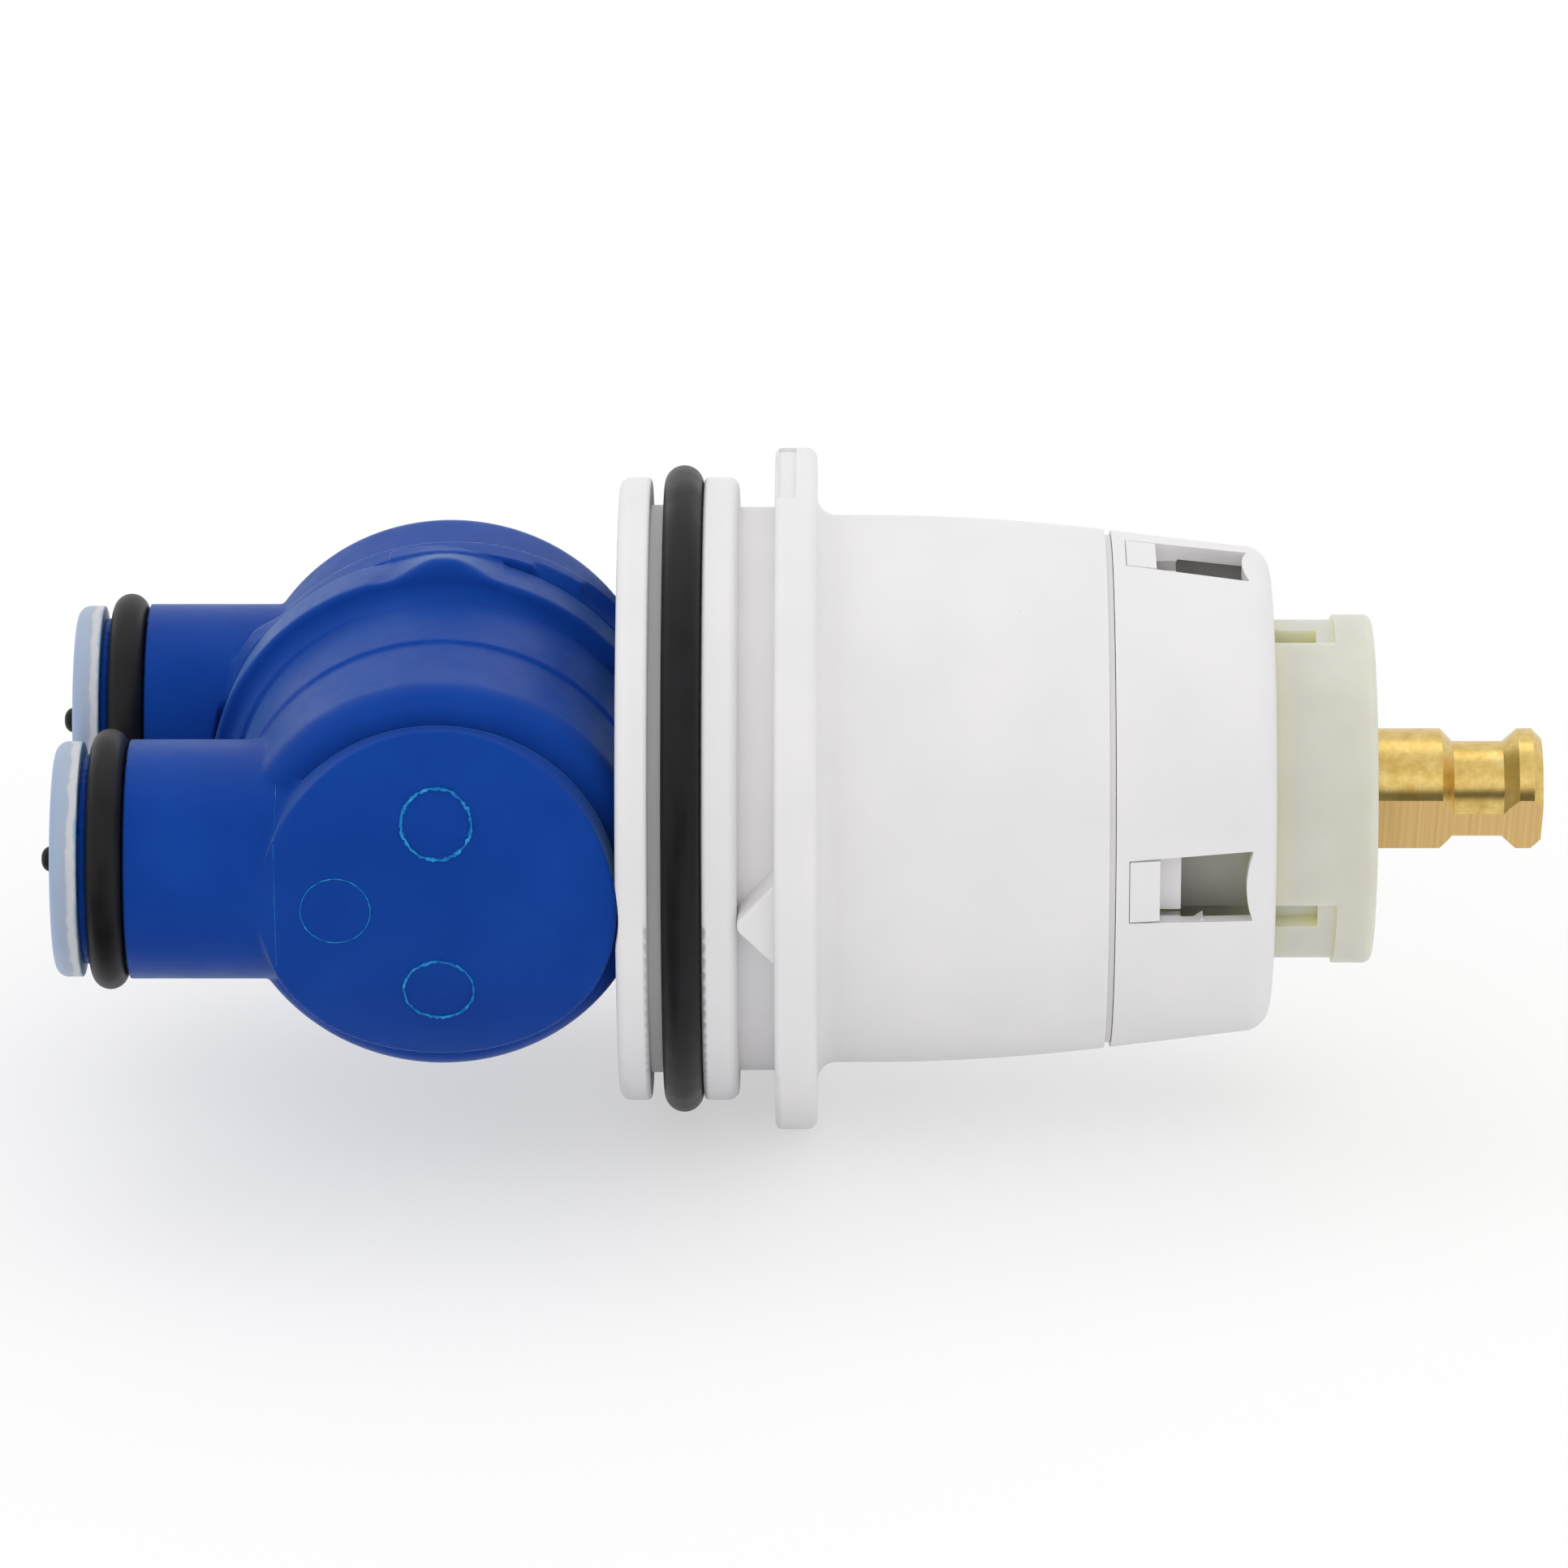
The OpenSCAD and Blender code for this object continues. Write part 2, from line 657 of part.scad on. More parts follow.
module front_cap() {
    bore_r = spigot_r + seat_gap;
    step_x = spigot_x1 + seat_gap;
    round_x = cap_x1 - cap_round;
    round_c = cap_at(round_x) - cap_round;
    rib_r0 = temp_stem_r + disc_gap;
    rib_r1 = barrel_r - disc_gap;
    rib_half = 14;
    color(white)
    union() {
        difference() {
            union() {
                difference() {
                    turned() {
                        polygon([[0, cap_x0], [cap_at(cap_x0), cap_x0],
                            [cap_at(round_x), round_x], [0, round_x]]);
                        block2(0, cap_x0 + over, round_c, cap_x1);
                        translate([round_c, round_x]) circle(cap_round);
                    }
                    turned() polygon([[0, cap_x0 - over], [bore_r, cap_x0 - over], [bore_r, step_x],
                        [cap_at(step_x) - cap_wall, step_x], [cap_at(cap_inner_x) - cap_wall, cap_inner_x],
                        [0, cap_inner_x]]);
                }
                // Ribs that hold the thrust washer down, between the windows
                for (a = [45:90:315]) {
                    section(rib_x, cap_inner_x + over / 2) arc2(rib_r0, rib_r1, a - rib_half, a + rib_half);
                    section(step_x + small_edge, cap_inner_x + over / 2)
                        arc2(rib_r0, cap_at(cap_inner_x) - cap_wall / 4, a - rib_half, a + rib_half);
                }
            }
            rod_x(cap_x0, cap_x1 + over, temp_stem_r + turn_play + seat_gap);
            for (a = [0:90:270]) rotate([90 + a + window_turn, 0, 0]) translate([0, 0, temp_stem_r + over])
                linear_extrude(cone_r - temp_stem_r) window_outline();
        }
        for (a = [0:90:270]) rotate([a + window_turn, 0, 0]) window_nib();
    }
}

// Outer profile of the end of a half, from the middle outwards
module end_profile() {
    lip2(0, shoulder_y, shoulder_r, small_edge, shoulder_round);
    block2(0, 0, band_r, step_y);
}

// Rim of one half, from one side to the seam, with a small nick where the halves meet
module rim_profile(side_y) {
    nick = 0.12;
    edge = 0.4;
    way = side_y < rim_seam_y ? 1 : -1;
    seam_r = rim_r - rim_draft;
    round_y = side_y + way * edge;
    polygon([[0, side_y], [rim_r - edge, side_y], [rim_r - edge, round_y], [rim_r, round_y],
        [seam_r, rim_seam_y - way * nick], [seam_r - nick, rim_seam_y], [0, rim_seam_y]]);
    translate([rim_r - edge, round_y]) circle(edge);
}

// Concave fillet from the band up to the rim's left side
module rim_fillet() {
    difference() {
        block2(band_r - over, rim_y0 - rim_fillet_r, band_r + rim_fillet_r, rim_y0 + small_edge);
        translate([band_r + rim_fillet_r, rim_y0 - rim_fillet_r]) circle(rim_fillet_r);
    }
}

// Raised keys on the left half's rim, above and below: a soft wave whose top falls towards the seam
module rim_keys() {
    steps = 20;
    root = 0.8;
    foot = rim_r - rim_draft - root;
    peak = rim_r + rim_key_h;
    for (turn = [0, 180]) intersection() {
        translate([housing_x, rim_seam_y, 0]) rotate([90, 0, 0]) rotate(turn)
            linear_extrude(rim_seam_y - rim_y0) polygon(concat([[-rim_key_w / 2, foot]],
                [for (i = [0:steps]) let (u = i / steps * 2 - 1, x = u * rim_key_w / 2)
                    [x, sqrt(pow(rim_r, 2) - x * x) - small_edge + rim_key_h * (1 + cos(180 * u)) / 2]],
                [[rim_key_w / 2, foot]]));
        translate([housing_x - rim_key_w, 0, 0]) rotate([turn, 0, 0]) mirror([0, turn / 180])
            rotate([90, 0, 90]) linear_extrude(2 * rim_key_w) polygon([[rim_y0 - over, foot - over],
                [rim_y0 - over, peak], [rim_y0, peak], [rim_seam_y, peak - rim_key_fall],
                [rim_seam_y, foot - over]]);
    }
}

// Solid under a button's crown, which curves up and down alone
module crown(side) {
    translate([-big / 2, side * (button_y - crown_r), 0]) rotate([0, 90, 0])
        cylinder(h = big, r = crown_r, $fn = 192);
}

// Crowned end button, whose face slopes off on the side of the tubes
module button(side) {
    difference() {
        intersection() {
            translate([housing_x, 0, 0]) rotate([-90 * side, 0, 0]) translate([0, 0, chamber_y])
                cylinder(h = button_y, r = button_r);
            translate([housing_x, 0, 0]) crown(side);
        }
        translate([housing_x - facet_x, 0, 0]) difference() {
            translate([-big, -big / 2, -big / 2]) cube(big);
            translate([0, side * (button_y - facet_step), 0]) rotate([0, 0, side * facet_slope])
                translate([0, -side * button_y, 0]) crown(side);
        }
    }
}

// Inlet tube with its O-ring groove and land, and the nipple of the outlet port
module inlet_tube(side) {
    y = side * tube_y;
    rod_x(tube_groove_x + inlet_groove_w, housing_x, inlet_r, y);
    rod_x(tube_x, tube_groove_x, inlet_land_r, y);
    rod_x(tube_spigot_x, housing_x, inlet_groove_r, y);
    rod_x(housing_x, nipple_x, nipple_r, side * port_y);
}

// Bores of one half: the sleeve's seat, the middle chamber, the inlet and the outlet port
module half_bores(side) {
    turned_across() {
        block2(0, -sleeve_seat_y, sleeve_bore_r, sleeve_seat_y);
        block2(0, -chamber_y, chamber_r, chamber_y);
    }
    rod_x(tube_spigot_x - over, housing_x, inlet_bore_r, side * tube_y);
    rod_x(housing_x + chamber_r - 2 * over, nipple_x + over, port_r, side * port_y);
}

// Line where the button leaves the shoulder
module foot_line(side) {
    line = 0.25;
    difference() {
        translate([housing_x, side * (shoulder_y + line / 2), 0]) rotate([90, 0, 0]) difference() {
            cylinder(h = line, r = button_r + over, center = true);
            cylinder(h = 2 * line, r = button_r - line, center = true);
        }
        rod_x(tube_x, housing_x, inlet_r, side * tube_y);
    }
}

module housing_left() {
    color(blue)
    difference() {
        union() {
            turned_across() {
                mirror([0, 1]) end_profile();
                block2(0, -over, band_r, rim_y0 + over);
            }
            turned_across(rim_shift) {
                rim_fillet();
                rim_profile(rim_y0);
            }
            rim_keys();
            button(left);
            inlet_tube(left);
        }
        half_bores(left);
        foot_line(left);
    }
}

module housing_right() {
    color(blue)
    difference() {
        union() {
            difference() {
                union() {
                    turned_across() end_profile();
                    button(right);
                    inlet_tube(right);
                }
                // Room for the left half
                turned_across(rim_shift) block2(0, -over, rim_r + seat_gap, rim_seam_y);
            }
            turned_across(rim_shift) rim_profile(rim_y1);
        }
        half_bores(right);
        foot_line(right);
    }
}

module inlet_oring(side) {
    color(black) translate([0, side * tube_y, 0])
        oring(tube_groove_x + seat_gap, inlet_groove_r, inlet_oring_d);
}
module inlet_oring_left() { inlet_oring(left); }
module inlet_oring_right() { inlet_oring(right); }

// Check valve cage: a spoked cap on the tube's end, with a barrel inside the bore
module check_cage(side) {
    hub = 1.6;
    spoke_w = 0.9;
    ring_r = umbrella_r - 0.4;
    color("#a9c0dd", 0.8) translate([0, side * tube_y, 0])
    difference() {
        union() {
            turned() lip2(cage_x, tube_x - seat_gap, cage_r, cage_round, small_edge);
            rod_x(cage_x + cage_round, cage_plate_x + cage_barrel_len, cage_barrel_r);
        }
        // Room for the tube's end
        difference() {
            rod_x(cage_plate_x, tube_x + over, inlet_groove_r + seat_gap);
            rod_x(cage_plate_x - over, tube_x + 2 * over, cage_barrel_r);
        }
        rod_x(cage_plate_x, cage_plate_x + cage_barrel_len + over, cage_barrel_r - cage_wall);
        // Flow windows between the spokes
        section(cage_x - over, cage_plate_x + over) difference() {
            circle(ring_r);
            circle(hub);
            for (a = [0:60:120]) rotate(a) square([3 * ring_r, spoke_w], center = true);
        }
        rod_x(cage_x - over, cage_plate_x + over, stalk_r + seat_gap);
    }
}
module check_cage_left() { check_cage(left); }
module check_cage_right() { check_cage(right); }

// Rubber umbrella: skirt behind the plate, stalk through it, and a bead in front
module check_umbrella(side) {
    skirt_x = cage_plate_x + seat_gap;
    rim_t = 0.35;
    dome = [1.6, 1.1];
    boss = [1.2, 1.6];
    color(black) translate([0, side * tube_y, 0])
    union() {
        turned() polygon([[0, skirt_x], [umbrella_r, skirt_x], [umbrella_r, skirt_x + rim_t],
            [dome[0], skirt_x + dome[1]], [boss[0], skirt_x + boss[1]], [0, skirt_x + boss[1]]]);
        rod_x(cage_x - bead_r / 2, skirt_x + rim_t, stalk_r);
        intersection() {
            translate([cage_x, 0, 0]) sphere(bead_r, $fn = 48);
            rod_x(cage_x - 2 * bead_r, cage_x - seat_gap, 2 * bead_r);
        }
    }
}
module check_umbrella_left() { check_umbrella(left); }
module check_umbrella_right() { check_umbrella(right); }

// Holes through the sleeve, six around at a place along Y
module sleeve_holes(y, r) {
    for (a = [0:60:120]) translate([housing_x, y, 0]) rotate([0, a, 0])
        cylinder(h = 4 * sleeve_r, r = r, center = true);
}

// Balance sleeve: ported tube across the housing, with a flange that parts the two waters
module balance_sleeve() {
    inlet_hole_r = 1.3;
    outlet_hole_r = 1.2;
    outlet_hole_y = 3.4;
    feed_r = sleeve_r - 1.4;
    feed_half = 2.2;
    color("#c9c3b6")
    difference() {
        turned_across() difference() {
            union() {
                block2(spool_r + spool_play, -sleeve_half, sleeve_r, sleeve_half);
                block2(spool_r + over, -sleeve_flange_half, sleeve_flange_r, sleeve_flange_half);
            }
            block2(flange_floor_r, -sleeve_groove_w / 2, sleeve_flange_r + over, sleeve_groove_w / 2);
            for (m = [-1, 1]) {
                block2(sleeve_floor_r, m * sleeve_seal_y - sleeve_groove_w / 2,
                    sleeve_r + over, m * sleeve_seal_y + sleeve_groove_w / 2);
                block2(feed_r, m * tube_y - feed_half, sleeve_r + over, m * tube_y + feed_half);
            }
        }
        for (m = [-1, 1]) {
            sleeve_holes(m * tube_y, inlet_hole_r);
            sleeve_holes(m * outlet_hole_y, outlet_hole_r);
        }
    }
}

module sleeve_orings() {
    ring = sleeve_oring_d / 2;
    color(black) turned_across() {
        for (m = [-1, 1]) translate([sleeve_floor_r + seat_gap + ring, m * sleeve_seal_y])
            circle(ring, $fn = 32);
        translate([flange_floor_r + seat_gap + ring, 0]) circle(ring, $fn = 32);
    }
}

// Balance spool: three lands, two waists and a hollow in each end
module balance_spool() {
    land_y = 2.2;
    waist_y = tube_y - 0.7;
    line = 0.25;
    hollow_r = 2.6;
    hollow_depth = 6;
    color("#b9bcc0") turned_across() difference() {
        block2(0, -spool_half, spool_r, spool_half);
        for (m = [0, 1]) mirror([0, m]) {
            block2(spool_waist_r, land_y, spool_r + over, waist_y);
            for (y = [1:2]) block2(spool_r - line, waist_y + y, spool_r + over, waist_y + y + line);
            block2(-over, spool_half - hollow_depth, hollow_r, spool_half + over);
        }
    }
}

module port_oring(side) {
    color(black) translate([0, side * port_y, 0])
        oring(port_seat_x - port_oring_d - seat_gap, nipple_r, port_oring_d);
}
module port_oring_left() { port_oring(left); }
module port_oring_right() { port_oring(right); }

// Ports that the gasket, the fixed disc and the volume disc share
module disc_ports2(grow = 0) {
    for (m = [-1, 1]) translate([m * port_y, 0]) circle(port_r + grow);
    outlets2(grow);
}

module disc_notches2() {
    for (a = disc_notches) arc2(notch_r, 2 * disc_r, a - notch_half, a + notch_half);
}

module disc_gasket() {
    color("#3a3a3c") section(web_x + seat_gap, web_x + gasket_t) difference() {
        circle(disc_r);
        disc_ports2(0.3);
        disc_notches2();
    }
}

module fixed_disc() {
    color(ceramic) section(fixed_disc_x, fixed_disc_x + fixed_disc_t) difference() {
        circle(disc_r);
        disc_ports2();
        disc_notches2();
    }
}

// The volume disc is shut at rest, turned away from the ports by its full turn
module volume_disc() {
    play = 0.1;
    half = tooth_half + notch_play;
    color(ceramic) section(volume_disc_x, volume_disc_x + volume_disc_t) difference() {
        circle(volume_disc_r);
        rotate(-volume_turn) disc_ports2();
        square([2 * tongue_r + 2 * play, tongue_w + 2 * play], center = true);
        for (a = tooth_at) arc2(tooth_r - play, volume_disc_r + over, a - half, a + half);
    }
}

// Ring around the volume disc, whose lug meets the ends of its channel
module volume_stop_ring() {
    ring_r0 = volume_disc_r + turn_play;
    ring_r1 = barrel_r - 2 * turn_play;
    root_r = ring_r0 + turn_play;
    half = lug_angle / 2;
    color(nylon) section(volume_disc_x + slide_gap, volume_disc_x + volume_disc_t - slide_gap) {
        difference() {
            circle(ring_r1);
            circle(ring_r0);
        }
        arc2(root_r, lug_r, -half, half);
        for (a = tooth_at) arc2(tooth_r, root_r, a - tooth_half, a + tooth_half);
    }
}

// The temperature disc joins each water to an outlet by blind chambers in its front face
module temperature_disc() {
    chamber_depth = 2;
    r0 = disc_bore_r + over;
    drive_room = drive_depth + 4 * slide_gap;
    half = drive_half + notch_play;
    span = [-10, 70];
    color(ceramic) difference() {
        section(temp_disc_x, temp_disc_x + temp_disc_t) difference() {
            circle(disc_r);
            circle(disc_bore_r);
        }
        section(temp_disc_x - over, temp_disc_x + chamber_depth) {
            for (a = [90, 270]) arc2(r0, outlet_r1, a - outlet_half, a + outlet_half);
            arc2(r0, outlet_r0, span[0], span[1]);
            arc2(r0, outlet_r0, 180 - span[1], 180 - span[0]);
        }
        section(temp_disc_x + temp_disc_t - drive_room, temp_disc_x + temp_disc_t + over)
            for (a = drive_at) arc2(drive_r0 - slide_gap, 2 * disc_r, a - half, a + half);
    }
}

module temperature_stem() {
    flange_r1 = barrel_r - 2 * turn_play;
    end_wall_x = socket_x - temp_end_t;
    web_len = 6;
    web_w = 1.6;
    edge = 0.6;
    tooth_h = 0.55;
    tooth_half_w = 0.7;
    socket_r = temp_tube_r + 0.15;
    clip_room = 0.3;
    half = lug_angle / 2;
    color(nylon)
    difference() {
        union() {
            turned() {
                block2(0, temp_flange_x, flange_r1, temp_flange_x1);
                lip2(temp_flange_x, temp_stem_end_x, temp_stem_r, small_edge, edge);
            }
            // Stop lug
            section(lug_x, temp_flange_x1)
                arc2(flange_r1 - over, lug_r, temp_lug_at - half, temp_lug_at + half);
            // Lugs that drive the temperature disc
            section(temp_flange_x - drive_depth, temp_flange_x + over)
                for (a = drive_at) arc2(drive_r0, disc_r, a - drive_half, a + drive_half);
        }
        rod_x(temp_flange_x - 2 * over, temp_stem_end_x + over, stem_r + turn_play);
        // Counterbore for the collar of the volume stem
        rod_x(temp_flange_x - over, collar_x + collar_t + slide_gap, collar_ring_r + turn_play);
        // Room between the hub and the outer tube, with three webs across
        difference() {
            rod_x(temp_flange_x - over, end_wall_x, temp_tube_r);
            rod_x(temp_flange_x - 2 * over, end_wall_x + over, hub_r);
            section(temp_flange_x, temp_flange_x + web_len) for (a = [15:60:135]) rotate(a)
                square([2 * temp_tube_r + over, web_w], center = true);
        }
        turned() block2(temp_floor_r, temp_groove_x, flange_r1 + over, temp_groove_x + temp_groove_w);
        // Recessed sides, and the slots along their edges
        for (a = recess_at) {
            section(temp_flange_x1 + seat_gap, band_x)
                arc2(temp_stem_r - recess_depth, temp_stem_r + over,
                    a - recess_angle / 2, a + recess_angle / 2);
            for (m = [-1, 1]) let (b = a + m * (recess_angle - slot_angle) / 2) section(rib_x, slot_x1)
                arc2(temp_stem_r - slot_depth, temp_stem_r + over, b - slot_angle / 2, b + slot_angle / 2);
        }
        // Toothed socket in the front end
        section(socket_x, temp_stem_end_x + over) difference() {
            union() {
                circle(socket_r);
                for (i = [0:socket_teeth - 1]) rotate(i * 360 / socket_teeth)
                    polygon([[socket_r - tooth_h, -tooth_half_w], [socket_r + tooth_h, 0],
                        [socket_r - tooth_h, tooth_half_w]]);
            }
            circle(hub_r);
        }
        rod_x(clip_x - slide_gap, temp_stem_end_x + over, hub_r + clip_room);
    }
}

module temperature_oring() {
    margin = (temp_groove_w - temp_oring_d) / 2;
    color(black) oring(temp_groove_x + margin, temp_floor_r, temp_oring_d);
}

module thrust_washer() {
    color("#e8e4d8") turned()
        block2(temp_stem_r + turn_play, washer_x, barrel_r - disc_gap, washer_x + washer_t);
}

module volume_stem() {
    edge = 0.7;
    neck_cone = 0.9;
    flare = 1.1;
    head_x = stem_end_x - stem_head_len;
    neck_x1 = head_x - flare;
    neck_x0 = neck_x1 - stem_neck_len;
    color("#c8922e")
    difference() {
        union() {
            turned() difference() {
                union() {
                    block2(0, shoulder_x, stem_r, neck_x0 - neck_cone);
                    polygon([[0, neck_x0 - neck_cone], [stem_r, neck_x0 - neck_cone], [stem_neck_r, neck_x0],
                        [stem_neck_r, neck_x1], [stem_r, head_x], [stem_r, stem_end_x - edge],
                        [stem_r - edge, stem_end_x], [0, stem_end_x]]);
                    block2(0, collar_x, collar_ring_r, collar_x + collar_t);
                }
                for (x = stem_seals) block2(stem_floor_r, x, stem_r + over, x + stem_groove_w);
                block2(clip_groove_r, clip_x, stem_r + over, clip_x + clip_t + 2 * seat_gap);
            }
            // Tongue that drives the volume disc
            intersection() {
                section(tongue_x, shoulder_x + over) square([2 * tongue_r, tongue_w], center = true);
                rod_x(tongue_x - over, shoulder_x + 2 * over, tongue_r);
            }
        }
        // Drive flat
        rotate([flat_angle, 0, 0]) translate([flat_x, stem_r - flat_depth, -stem_r])
            cube([big, 2 * flat_depth, 2 * stem_r]);
    }
}

module volume_orings() {
    margin = (stem_groove_w - stem_oring_d) / 2;
    color(black) for (x = stem_seals) oring(x + margin, stem_floor_r, stem_oring_d);
}

// Open spring clip in the stem's groove
module stem_clip() {
    gap_half = 22;
    scallop_r = 0.9;
    color("#b8bcc2") section(clip_x + seat_gap, clip_x + seat_gap + clip_t) difference() {
        circle(clip_r);
        circle(clip_groove_r + seat_gap);
        for (a = [150, 270, 30]) translate(polar(clip_r - scallop_r / 2, a)) circle(scallop_r);
        wedge2(2 * clip_r, 90 - gap_half, 90 + gap_half);
    }
}

valve_body();
front_cap();
body_oring();
housing_left();
housing_right();
inlet_oring_left();
inlet_oring_right();
check_cage_left();
check_cage_right();
check_umbrella_left();
check_umbrella_right();
balance_sleeve();
balance_spool();
sleeve_orings();
port_oring_left();
port_oring_right();
disc_gasket();
fixed_disc();
volume_disc();
volume_stop_ring();
temperature_disc();
temperature_stem();
temperature_oring();
thrust_washer();
volume_stem();
volume_orings();
stem_clip();
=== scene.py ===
# %% [markdown]
# # A shower valve cartridge, dressed for a product picture
# The cartridge is a plug-in part of a shower mixer: a blue balancing unit with two inlet tubes, a white
# body with its seal, and on the other end a nylon sleeve for temperature and a brass stem for volume.
# Its solids come ready made from the frame. This script gives each of them its finish, and builds in mesh
# the moulded shapes and marks that a machined solid doesn't have.

# %% The frame that everything sits in
import json
import math
import random

import bpy
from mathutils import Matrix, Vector
from mathutils.bvhtree import BVHTree


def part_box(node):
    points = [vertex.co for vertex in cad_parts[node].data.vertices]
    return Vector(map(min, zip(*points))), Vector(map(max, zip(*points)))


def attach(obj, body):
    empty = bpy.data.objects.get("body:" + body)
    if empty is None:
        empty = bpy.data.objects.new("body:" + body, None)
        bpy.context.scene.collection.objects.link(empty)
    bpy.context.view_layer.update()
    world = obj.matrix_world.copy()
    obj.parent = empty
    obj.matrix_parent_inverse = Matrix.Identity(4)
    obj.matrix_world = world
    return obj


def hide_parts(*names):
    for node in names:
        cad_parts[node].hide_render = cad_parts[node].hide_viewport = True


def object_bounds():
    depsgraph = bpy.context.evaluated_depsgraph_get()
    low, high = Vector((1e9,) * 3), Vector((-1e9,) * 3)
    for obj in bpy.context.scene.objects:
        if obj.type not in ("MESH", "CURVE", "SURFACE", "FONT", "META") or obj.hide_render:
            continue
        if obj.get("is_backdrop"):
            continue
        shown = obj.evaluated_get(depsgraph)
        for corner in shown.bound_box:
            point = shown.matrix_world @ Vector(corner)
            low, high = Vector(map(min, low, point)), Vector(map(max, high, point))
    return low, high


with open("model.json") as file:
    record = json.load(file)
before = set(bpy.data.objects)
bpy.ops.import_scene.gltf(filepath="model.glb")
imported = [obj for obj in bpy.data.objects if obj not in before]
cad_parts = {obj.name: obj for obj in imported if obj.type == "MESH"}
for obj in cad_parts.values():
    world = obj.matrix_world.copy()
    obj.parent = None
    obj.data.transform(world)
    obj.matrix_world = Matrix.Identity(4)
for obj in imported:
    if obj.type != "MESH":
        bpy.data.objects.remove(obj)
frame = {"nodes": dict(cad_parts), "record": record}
cad_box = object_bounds()
nodes = frame["nodes"]
MM = 0.001

# %% [markdown]
# ## Colours and nodes
# Colours are picked as sRGB hex, the way a paint chart gives them, but a renderer adds up light, so
# one function turns each hex colour into linear values, with the constants of the sRGB standard. A material
# is a small graph, and it could be clicked together by hand; one function that adds a node, sets its inputs
# and links it keeps the graph readable as text.

# %% Colours and nodes
def linear(hex_colour):
    """sRGB hex to linear red, green, blue and alpha."""
    channels = [int(hex_colour[i:i + 2], 16) / 255 for i in (1, 3, 5)]
    return [c / 12.92 if c < 0.04045 else ((c + 0.055) / 1.055) ** 2.4 for c in channels] + [1.0]


def add(tree, kind, inputs=None, stops=None, **settings):
    """Adds a node: settings are its own options, inputs are values or other nodes' outputs."""
    node = tree.nodes.new("ShaderNode" + kind)
    for name, value in settings.items():
        setattr(node, name, value)
    for name, value in (inputs or {}).items():
        if isinstance(value, bpy.types.NodeSocket):
            tree.links.new(value, node.inputs[name])
        else:
            node.inputs[name].default_value = value
    if stops:
        ramp = node.color_ramp
        while len(ramp.elements) < len(stops):
            ramp.elements.new(0.5)
        for element, (place, colour) in zip(ramp.elements, stops):
            element.position = place
            element.color = linear(colour)
    return node


print("middle grey #808080 is", round(linear("#808080")[0], 3), "in linear light")

# %% [markdown]
# ## What every finish here shares
# A finish starts as an empty graph that knows where it is on the object, in metres, so a pattern's size can
# be given in millimetres. It ends in one principled shader. Two things come back in several finishes and
# are written once: the fine relief that a mould's eroded steel leaves, and the few specks of dust and
# pigment that natural and white plastics show.

# %% The start and the end of a finish
FINISH = {}


def per_mm(size_mm):
    """Scale of a texture whose features are about that many millimetres across."""
    return 1 / (size_mm * MM)


def new_material(name):
    """An empty material with its output, and the place on the object in metres."""
    material = bpy.data.materials.new(name)
    material.use_nodes = True
    tree = material.node_tree
    tree.nodes.clear()
    output = add(tree, "OutputMaterial")
    place = add(tree, "TexCoord").outputs["Object"]
    return material, tree, output, place


def surface(tree, output, **inputs):
    """Principled shader linked to the output; names are the sockets' own, with _ for a blank."""
    shader = add(tree, "BsdfPrincipled", {name.replace("_", " "): value for name, value in inputs.items()})
    tree.links.new(shader.outputs["BSDF"], output.inputs["Surface"])


def keep(slot, material):
    """Files a finish under the name of what uses it."""
    FINISH[slot] = material
    print(slot, "is", material.name, "with", len(material.node_tree.nodes), "nodes")


print("a pattern of 1 mm has the scale", per_mm(1))

# %% Mould grain and specks
relief_mm = 0.02


def mould_grain(tree, place, grain_mm, strength):
    """The normal of a surface that came off eroded steel."""
    grain = add(tree, "TexNoise", {"Vector": place, "Scale": per_mm(grain_mm), "Detail": 3.0})
    bump = add(tree, "Bump", {"Height": grain.outputs["Fac"], "Strength": strength,
                              "Distance": relief_mm * MM})
    return bump.outputs["Normal"]


def specked(tree, place, colour, gap_mm, share, speck):
    """A colour with a speck in each gap; share is a speck's radius as a part of the gap."""
    cells = add(tree, "TexVoronoi", {"Vector": place, "Scale": per_mm(gap_mm), "Randomness": 1.0})
    spot = add(tree, "ValToRGB", {"Fac": cells.outputs["Distance"]}, [(0.0, "#ffffff"), (share, "#000000")])
    mix = add(tree, "MixRGB", {"Fac": spot.outputs["Color"], "Color1": colour, "Color2": linear(speck)})
    return mix.outputs["Color"]


print("mould relief:", relief_mm, "mm")

# %% [markdown]
# ## White acetal, injection moulded
# The body and the cap are moulded in white acetal. The tool's surface is finely eroded, which gives the
# plastic a satin look: a soft wide highlight and an even bloom. Light goes a short way into the plastic, so
# a little subsurface scattering keeps the shadows in the grooves milky. The real grain is about 0.05 mm,
# finer than a pixel. It is drawn at 0.35 mm, as coarse as it needs to be to show at all, and as bump alone.

# %% White acetal
def acetal_moulded_white():
    material, tree, output, place = new_material("acetal_moulded_white")
    flow_mm, grain_mm, speck_gap_mm, milk_mm = 9, 0.35, 4.8, 0.4
    flow = add(tree, "TexNoise", {"Vector": place, "Scale": per_mm(flow_mm), "Detail": 2.0})
    tint = add(tree, "ValToRGB", {"Fac": flow.outputs["Fac"]}, [(0.3, "#e8e7e8"), (0.7, "#edebec")])
    colour = specked(tree, place, tint.outputs["Color"], speck_gap_mm, share=0.02, speck="#b9b5b2")
    surface(tree, output, Roughness=0.46, IOR=1.48, Subsurface_Weight=0.25, Subsurface_Scale=milk_mm * MM,
            Subsurface_Radius=(1.0, 0.95, 0.9), Base_Color=colour,
            Normal=mould_grain(tree, place, grain_mm, strength=0.12))
    return material


keep("white_body", acetal_moulded_white())

